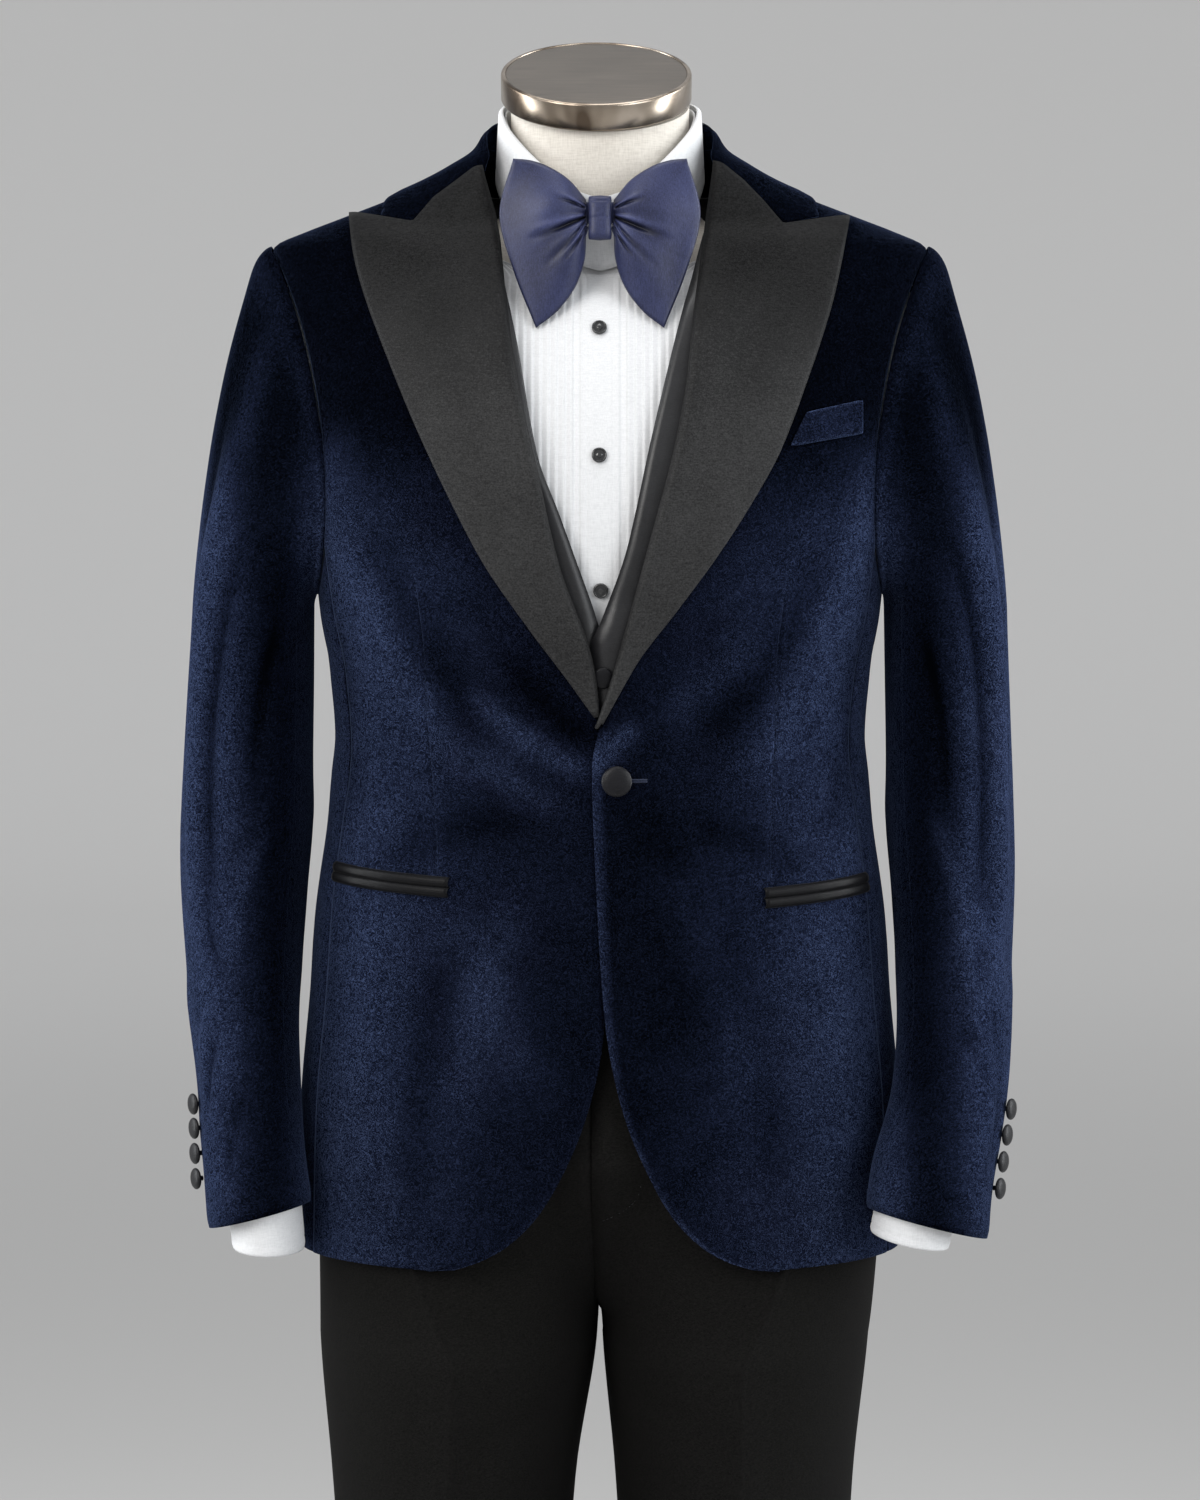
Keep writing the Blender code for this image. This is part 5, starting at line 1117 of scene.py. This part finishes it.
# ---- materials --------------------------------------------------------------------------------
class Look:
    """A node material: constants go straight onto the shader, patterns are linked to it."""

    def __init__(self, name, base, roughness, **constants):
        material = bpy.data.materials.new(name)
        material.use_nodes = True
        self.tree = material.node_tree
        self.shader = self.tree.nodes["Principled BSDF"]
        self.set("Base Color", (*base, 1.0))
        self.set("Roughness", roughness)
        for key, value in constants.items():
            self.set(key.replace("_", " ").title().replace("Ior", "IOR"), value)
        self.place = self.node("ShaderNodeTexCoord").outputs["Object"]
        MATERIALS[name] = material

    def set(self, socket, value):
        self.shader.inputs[socket].default_value = value

    def node(self, kind, **properties):
        made = self.tree.nodes.new(kind)
        for key, value in properties.items():
            setattr(made, key, value)
        return made

    def link(self, source, target):
        self.tree.links.new(source, target)

    def noise(self, scale, detail=2.0, rough=0.5, distortion=0.0, source=None):
        made = self.node("ShaderNodeTexNoise")
        self.link(self.place if source is None else source, made.inputs["Vector"])
        for key, value in (("Scale", scale), ("Detail", detail), ("Roughness", rough),
                           ("Distortion", distortion)):
            made.inputs[key].default_value = value
        return made.outputs["Fac"]

    def threads(self, stretch, detail=2.0, rough=0.6, turn=0.0):
        """Noise of a scale for each axis: it runs on along an axis with a low one."""
        mapping = self.node("ShaderNodeMapping")
        mapping.inputs["Scale"].default_value = stretch
        mapping.inputs["Rotation"].default_value = (0.0, turn, 0.0)
        self.link(self.place, mapping.inputs["Vector"])
        return self.noise(1.0, detail, rough, source=mapping.outputs["Vector"])

    def painted_shading(self):
        """The painted light and shade that a piece carries at its points."""
        return self.node("ShaderNodeAttribute", attribute_name="painted_shading").outputs["Fac"]

    def split(self):
        """The three coordinates of a place on the piece."""
        made = self.node("ShaderNodeSeparateXYZ")
        self.link(self.place, made.inputs[0])
        return made.outputs

    def math(self, operation, a, b=0.0):
        made = self.node("ShaderNodeMath", operation=operation)
        for socket, value in zip(made.inputs, (a, b)):
            if isinstance(value, (int, float)):
                socket.default_value = value
            else:
                self.link(value, socket)
        return made.outputs[0]

    def sum(self, *weighted):
        """Weighted sum of several patterns."""
        total = None
        for fac, weight in weighted:
            part = self.math("MULTIPLY", fac, weight)
            total = part if total is None else self.math("ADD", total, part)
        return total

    def band(self, value, low, high):
        """0 at low, 1 at high, soft between them."""
        made = self.node("ShaderNodeMapRange", interpolation_type="SMOOTHSTEP")
        self.link(value, made.inputs["Value"])
        ends = (0.0, 1.0) if low < high else (1.0, 0.0)
        for key, end in zip(("From Min", "From Max", "To Min", "To Max"),
                            (min(low, high), max(low, high), *ends)):
            made.inputs[key].default_value = end
        return made.outputs["Result"]

    def colors(self, fac, stops, interpolation="LINEAR"):
        """A colour, or a grey value, for each stop of a pattern."""
        made = self.node("ShaderNodeValToRGB")
        made.color_ramp.interpolation = interpolation
        elements = made.color_ramp.elements
        while len(elements) < len(stops):
            elements.new(0.5)
        for element, (place, color) in zip(elements, stops):
            element.position = place
            element.color = (*(color if isinstance(color, tuple) else (color,) * 3), 1.0)
        self.link(fac, made.inputs["Fac"])
        return made.outputs["Color"]

    def curve(self, value, stops, reach=0.3):
        """A grey value for each distance in metres, up to the reach."""
        return self.colors(self.math("DIVIDE", value, reach),
                           [(place / reach, grey) for place, grey in stops], "B_SPLINE")

    def ramp(self, fac, stops, socket="Base Color"):
        self.link(self.colors(fac, stops), self.shader.inputs[socket])

    def bump(self, height, distance, strength=0.5):
        made = self.node("ShaderNodeBump")
        made.inputs["Distance"].default_value = distance * MM
        made.inputs["Strength"].default_value = strength
        self.link(height, made.inputs["Height"])
        self.link(made.outputs["Normal"], self.shader.inputs["Normal"])


def scaled(color, factor):
    return tuple(c * factor for c in color)


def velvet():
    """Deep navy pile with fine squiggles where the pile turns; painted sheen pales it at the body's
    sides and on the sleeves' outer halves, and painted shade darkens the chest, the shoulders and the
    sleeves' inner sides.
    """
    look = Look("velvet", (0.004, 0.006, 0.016), 0.9, sheen_weight=0.14, sheen_roughness=0.22,
                sheen_tint=(0.30, 0.42, 0.80, 1.0), specular_ior_level=0.0)
    turning = look.math("SUBTRACT", look.noise(320, 1.5, 0.55, 2.2), 0.5)
    worms = look.band(look.math("ABSOLUTE", turning), 0.07, 0.0)
    brushed = look.noise(20, distortion=0.8)
    fine = look.noise(1700, rough=0.6)
    x, _, z = look.split()
    # painted sheen and shade across the body: pale towards the body's sides and on the sleeves' outer
    # halves, dark at the middle and on the sleeves' inner sides
    across = look.curve(look.math("ABSOLUTE", x), (
        (0.0, 0.16), (0.05, 0.20), (0.115, 0.52), (0.165, 0.95), (0.195, 0.75), (0.207, 0.12),
        (0.226, 0.10), (0.248, 0.85), (0.29, 1.0)))
    # painted shade above the waist: the painted sheen fades out between 1.34 and 1.46 m up, so chest
    # and shoulders stay dark
    painted_sheen_and_shade = look.math("MULTIPLY", across, look.band(z, 1.46, 1.34))
    # painted light and shade: the painted sheen and shade by place, plus what each piece carries at its
    # points
    light = look.math("ADD", look.sum((painted_sheen_and_shade, 0.80), (look.painted_shading(), 1.0)), 0.13)
    texture = look.sum((worms, 0.56), (fine, 0.18), (brushed, 0.26))
    look.ramp(look.math("MULTIPLY", texture, look.math("MAXIMUM", light, 0.02)),
              ((0.04, (0.0006, 0.0008, 0.0016)), (0.30, (0.0085, 0.0118, 0.0270)),
               (0.62, (0.0310, 0.0440, 0.0920))))
    look.bump(look.sum((worms, 0.7), (fine, 0.5)), 0.35)


def lapel_satin():
    """Facing satin: fine grain, and painted shade that darkens it towards the shoulders, where it leans
    back.
    """
    look = Look("lapel_satin", (0.02, 0.02, 0.02), 0.5, sheen_weight=0.01, sheen_roughness=0.4,
                specular_ior_level=0.06)
    specks = look.noise(850, rough=0.7)
    threads = look.threads((260, 260, 1500))
    _, _, z = look.split()
    # the last term is painted shade: the satin is paler below 1.40 m and darker above 1.60 m
    fac = look.sum((specks, 0.5), (threads, 0.3), (look.noise(16), 0.2),
                   (look.band(z, 1.60, 1.40), 0.30))
    look.ramp(fac, ((0.42, (0.0020, 0.0020, 0.0021)), (0.70, (0.0150, 0.0150, 0.0153)),
                    (0.94, (0.0400, 0.0400, 0.0405))))
    look.bump(look.sum((specks, 0.6), (threads, 0.4)), 0.25)


def satin(name, dark, light, roughness, gloss, stretch=(300, 300, 2100)):
    """Smooth satin: fine threads along the cloth and a soft gloss."""
    look = Look(name, light, roughness, sheen_weight=0.03, sheen_roughness=0.4,
                specular_ior_level=gloss)
    threads = look.threads(stretch)
    cloud = look.noise(60, 3.0, 0.6)
    specks = look.noise(1100, rough=0.7)
    # the piece's painted light and shade lightens or darkens the satin
    fac = look.sum((threads, 0.4), (specks, 0.35), (cloud, 0.25), (look.painted_shading(), 0.45))
    look.ramp(fac, ((0.10, scaled(dark, 0.25)), (0.38, dark), (0.62, light),
                    (0.95, scaled(light, 1.9))))
    look.bump(look.sum((threads, 0.6), (specks, 0.4)), 0.25)


def cotton():
    look = Look("shirt_cotton", (0.80, 0.81, 0.83), 0.78, sheen_weight=0.08,
                specular_ior_level=0.15)
    fac = look.sum((look.threads((1800, 1800, 220), rough=0.5), 0.5),
                   (look.threads((220, 220, 1800), rough=0.5), 0.5))
    look.ramp(fac, ((0.35, (0.57, 0.575, 0.585)), (0.6, (0.655, 0.66, 0.67))))
    look.bump(fac, 0.16, 0.4)


def wool():
    """Black twill with a little fuzz."""
    look = Look("trouser_wool", (0.006, 0.006, 0.007), 0.9, sheen_weight=0.0,
                specular_ior_level=0.03)
    fac = look.sum((look.threads((520, 900, 1500), turn=0.7), 0.5),
                   (look.noise(1500, 3.0, 0.7), 0.5))
    look.ramp(fac, ((0.36, (0.0030, 0.0030, 0.0029)), (0.64, (0.0100, 0.0096, 0.0092))))
    look.bump(fac, 0.25)


def linen():
    """Plain weave of uneven natural threads."""
    look = Look("linen", (0.60, 0.55, 0.48), 0.9, sheen_weight=0.1, specular_ior_level=0.2)
    fac = look.sum((look.threads((1500, 1500, 120)), 0.42),
                   (look.threads((120, 120, 1500)), 0.42), (look.threads((160, 160, 700)), 0.16))
    look.ramp(fac, ((0.30, (0.50, 0.46, 0.41)), (0.5, (0.63, 0.59, 0.53)),
                    (0.70, (0.72, 0.68, 0.62))))
    look.bump(fac, 0.25)


def steel(name, base, roughness, stretch):
    """Steel with fine lines from its finishing."""
    look = Look(name, base, roughness, metallic=1.0)
    lines = look.threads(stretch, detail=3.0)
    look.ramp(look.sum((lines, 0.6), (look.noise(18), 0.4)),
              ((0.3, roughness - 0.06), (0.7, roughness + 0.06)), "Roughness")
    look.ramp(look.sum((lines, 0.7), (look.noise(9), 0.3)),
              ((0.3, scaled(base, 0.8)), (0.7, scaled(base, 1.2))))
    look.bump(lines, 0.03, 0.35)


def polished_steel():
    """Steel rim with painted reflections: soft dark and light bands in its colour, like those that a
    turned surface shows.
    """
    look = Look("steel_polished", (0.34, 0.29, 0.24), 0.26, metallic=1.0)
    # painted reflections: dark and light bands round the rim
    look.ramp(look.threads((38, 38, 4), rough=0.5),
              ((0.36, (0.10, 0.075, 0.055)), (0.50, (0.30, 0.25, 0.20)),
               (0.62, (0.42, 0.36, 0.30))))
    look.bump(look.threads((60, 60, 1800)), 0.02, 0.3)


def stud_black():
    look = Look("stud_black", (0.012, 0.012, 0.013), 0.18, coat_weight=0.6,
                coat_roughness=0.06)
    look.ramp(look.noise(300), ((0.3, 0.14), (0.7, 0.24)), "Roughness")


def thread(name, color):
    look = Look(name, color, 0.6, sheen_weight=0.08, specular_ior_level=0.2)
    twist = look.threads((1400, 700, 1400), rough=0.5)
    look.ramp(twist, ((0.35, scaled(color, 0.6)), (0.65, color)))
    look.bump(twist, 0.1, 0.6)


def backdrop_paint(color=(0.785, 0.775, 0.76)):
    """Matt paint, with painted shade that makes it darker near the stand than far from it."""
    look = Look("backdrop", color, 0.95, specular_ior_level=0.0)
    x, y, _ = look.split()
    away = look.math("SQRT", look.sum((look.math("MULTIPLY", x, x), 1.0),
                                      (look.math("MULTIPLY", y, y), 1.0)))
    # painted shade round the stand, fading out between 2.5 and 10 m from it
    fac = look.sum((look.band(away, 2.5, 10.0), 0.96), (look.noise(0.35, 1.0, 0.4), 0.04))
    look.ramp(fac, ((0.0, scaled(color, 0.60)), (1.0, color)))


def make_materials():
    velvet()
    lapel_satin()
    satin("pocket_satin", (0.0015, 0.0015, 0.002), (0.004, 0.004, 0.005), 0.40, 0.10)
    satin("button_satin", (0.002, 0.002, 0.003), (0.006, 0.006, 0.008), 0.40, 0.2)
    satin("waistcoat_satin", (0.006, 0.006, 0.007), (0.016, 0.016, 0.018), 0.36, 0.4)
    satin("bow_satin", (0.012, 0.0145, 0.041), (0.031, 0.037, 0.093), 0.38, 0.28,
          (1900, 1900, 240))
    cotton()
    stud_black()
    wool()
    linen()
    steel("steel_brushed", (0.21, 0.185, 0.16), 0.34, (30, 900, 900))
    polished_steel()
    steel("stand_steel", (0.36, 0.35, 0.34), 0.36, (900, 900, 40))
    thread("navy_thread", (0.010, 0.016, 0.040))
    thread("trouser_thread", (0.014, 0.014, 0.017))
    backdrop_paint()


# ---- floor, light and camera, in metres -------------------------------------------------------
STAGE_HALF_WIDTH, STAGE_FRONT, STAGE_BACK, STAGE_BEND, STAGE_TOP = 14.0, -14.0, 9.5, 3.0, 11.0
LIGHTS = (                 # name, place, aim, width, height, power, colour
    ("key", (-2.2, -3.0, 3.0), (0, 0, 1.3), 2.2, 2.2, 100, (1.0, 0.98, 0.95)),
    ("fill", (2.6, -2.6, 2.2), (0, 0, 1.2), 2.2, 2.2, 60, (0.95, 0.98, 1.0)),
    ("side_left", (-2.3, 0.1, 1.7), (0, 0, 1.2), 0.8, 2.4, 55, (0.95, 0.98, 1.0)),
    ("side_right", (2.3, 0.1, 1.7), (0, 0, 1.2), 0.8, 2.4, 60, (0.95, 0.98, 1.0)),
    ("top", (0, -0.3, 4.0), (0, 0, 1.5), 2.0, 2.0, 45, (1, 1, 1)),
)
WORLD_COLOR, WORLD_STRENGTH = (0.95, 0.97, 1.0, 1.0), 0.62
CAMERA_PLACE, CAMERA_AIM, LENS_MM, SENSOR_MM = (0.0, -2.9, 1.45), (0.0, 0.0, 1.221), 128.35, 36.0


def stage():
    """Pale floor that sweeps up into a far backdrop."""
    bends = [math.pi / 2 * i / 12 for i in range(13)]
    profile = [(STAGE_FRONT, 0.0)]
    profile += [(STAGE_BACK + STAGE_BEND * math.sin(a), STAGE_BEND * (1 - math.cos(a)))
                for a in bends]
    profile.append((STAGE_BACK + STAGE_BEND, STAGE_TOP))
    verts = [(x, y, z) for y, z in profile for x in (-STAGE_HALF_WIDTH, STAGE_HALF_WIDTH)]
    faces = [(2 * i, 2 * i + 1, 2 * i + 3, 2 * i + 2) for i in range(len(profile) - 1)]
    mesh = bpy.data.meshes.new("backdrop")
    mesh.from_pydata(verts, [], faces)
    mesh.shade_smooth()
    mesh.materials.append(MATERIALS["backdrop"])
    obj = bpy.data.objects.new("backdrop", mesh)
    bpy.context.scene.collection.objects.link(obj)


def aimed(name, data, place, aim):
    """Object that looks from a place at another one."""
    obj = bpy.data.objects.new(name, data)
    obj.location = place
    obj.rotation_euler = (Vector(aim) - Vector(place)).to_track_quat("-Z", "Y").to_euler()
    bpy.context.scene.collection.objects.link(obj)
    return obj


def lights():
    for name, place, aim, width, height, power, color in LIGHTS:
        data = bpy.data.lights.new(name, "AREA")
        data.shape = "RECTANGLE"
        data.size, data.size_y = width, height
        data.energy = power
        data.color = color
        aimed(name, data, place, aim)
    world = bpy.data.worlds.new("studio")
    world.use_nodes = True
    background = world.node_tree.nodes["Background"]
    background.inputs["Color"].default_value = WORLD_COLOR
    background.inputs["Strength"].default_value = WORLD_STRENGTH
    bpy.context.scene.world = world
    bpy.context.scene.view_settings.view_transform = "Standard"


def camera():
    data = bpy.data.cameras.new("camera")
    data.lens = LENS_MM
    data.sensor_width = SENSOR_MM
    data.sensor_fit = "HORIZONTAL"
    bpy.context.scene.camera = aimed("camera", data, CAMERA_PLACE, CAMERA_AIM)


# ---- everything ---------------------------------------------------------------------------------
def middle_pieces():
    dress_form()
    neck_cap()
    stand()
    shirt_front()
    shirt_back()
    collar_stand()
    collar_leaf()
    for number, (x, height) in enumerate(STUDS, 1):
        stud(number, x, height)
    bow_knot()
    bow_band()
    waistcoat_back()
    for number, height in enumerate(WAISTCOAT_BUTTON_HEIGHTS, 1):
        waistcoat_button(number, height)
    waistband()


def side_pieces(side):
    shirt_sleeve(side)
    shirt_cuff(side)
    bow_wing(side)
    waistcoat_front(side)
    trouser_panel(side, front=True)
    trouser_panel(side, front=False)
    coat_front(side)
    coat_side(side)
    coat_back(side)
    lapel(side)
    sleeve(side)
    hip_pocket(side)
    for number, height in enumerate(SLEEVE_BUTTON_HEIGHTS, 1):
        sleeve_button(side, number, height)


camera()
make_materials()
middle_pieces()
side_pieces(LEFT)
side_pieces(RIGHT)
coat_collar()
breast_pocket()
coat_button()
buttonhole()
stage()
lights()
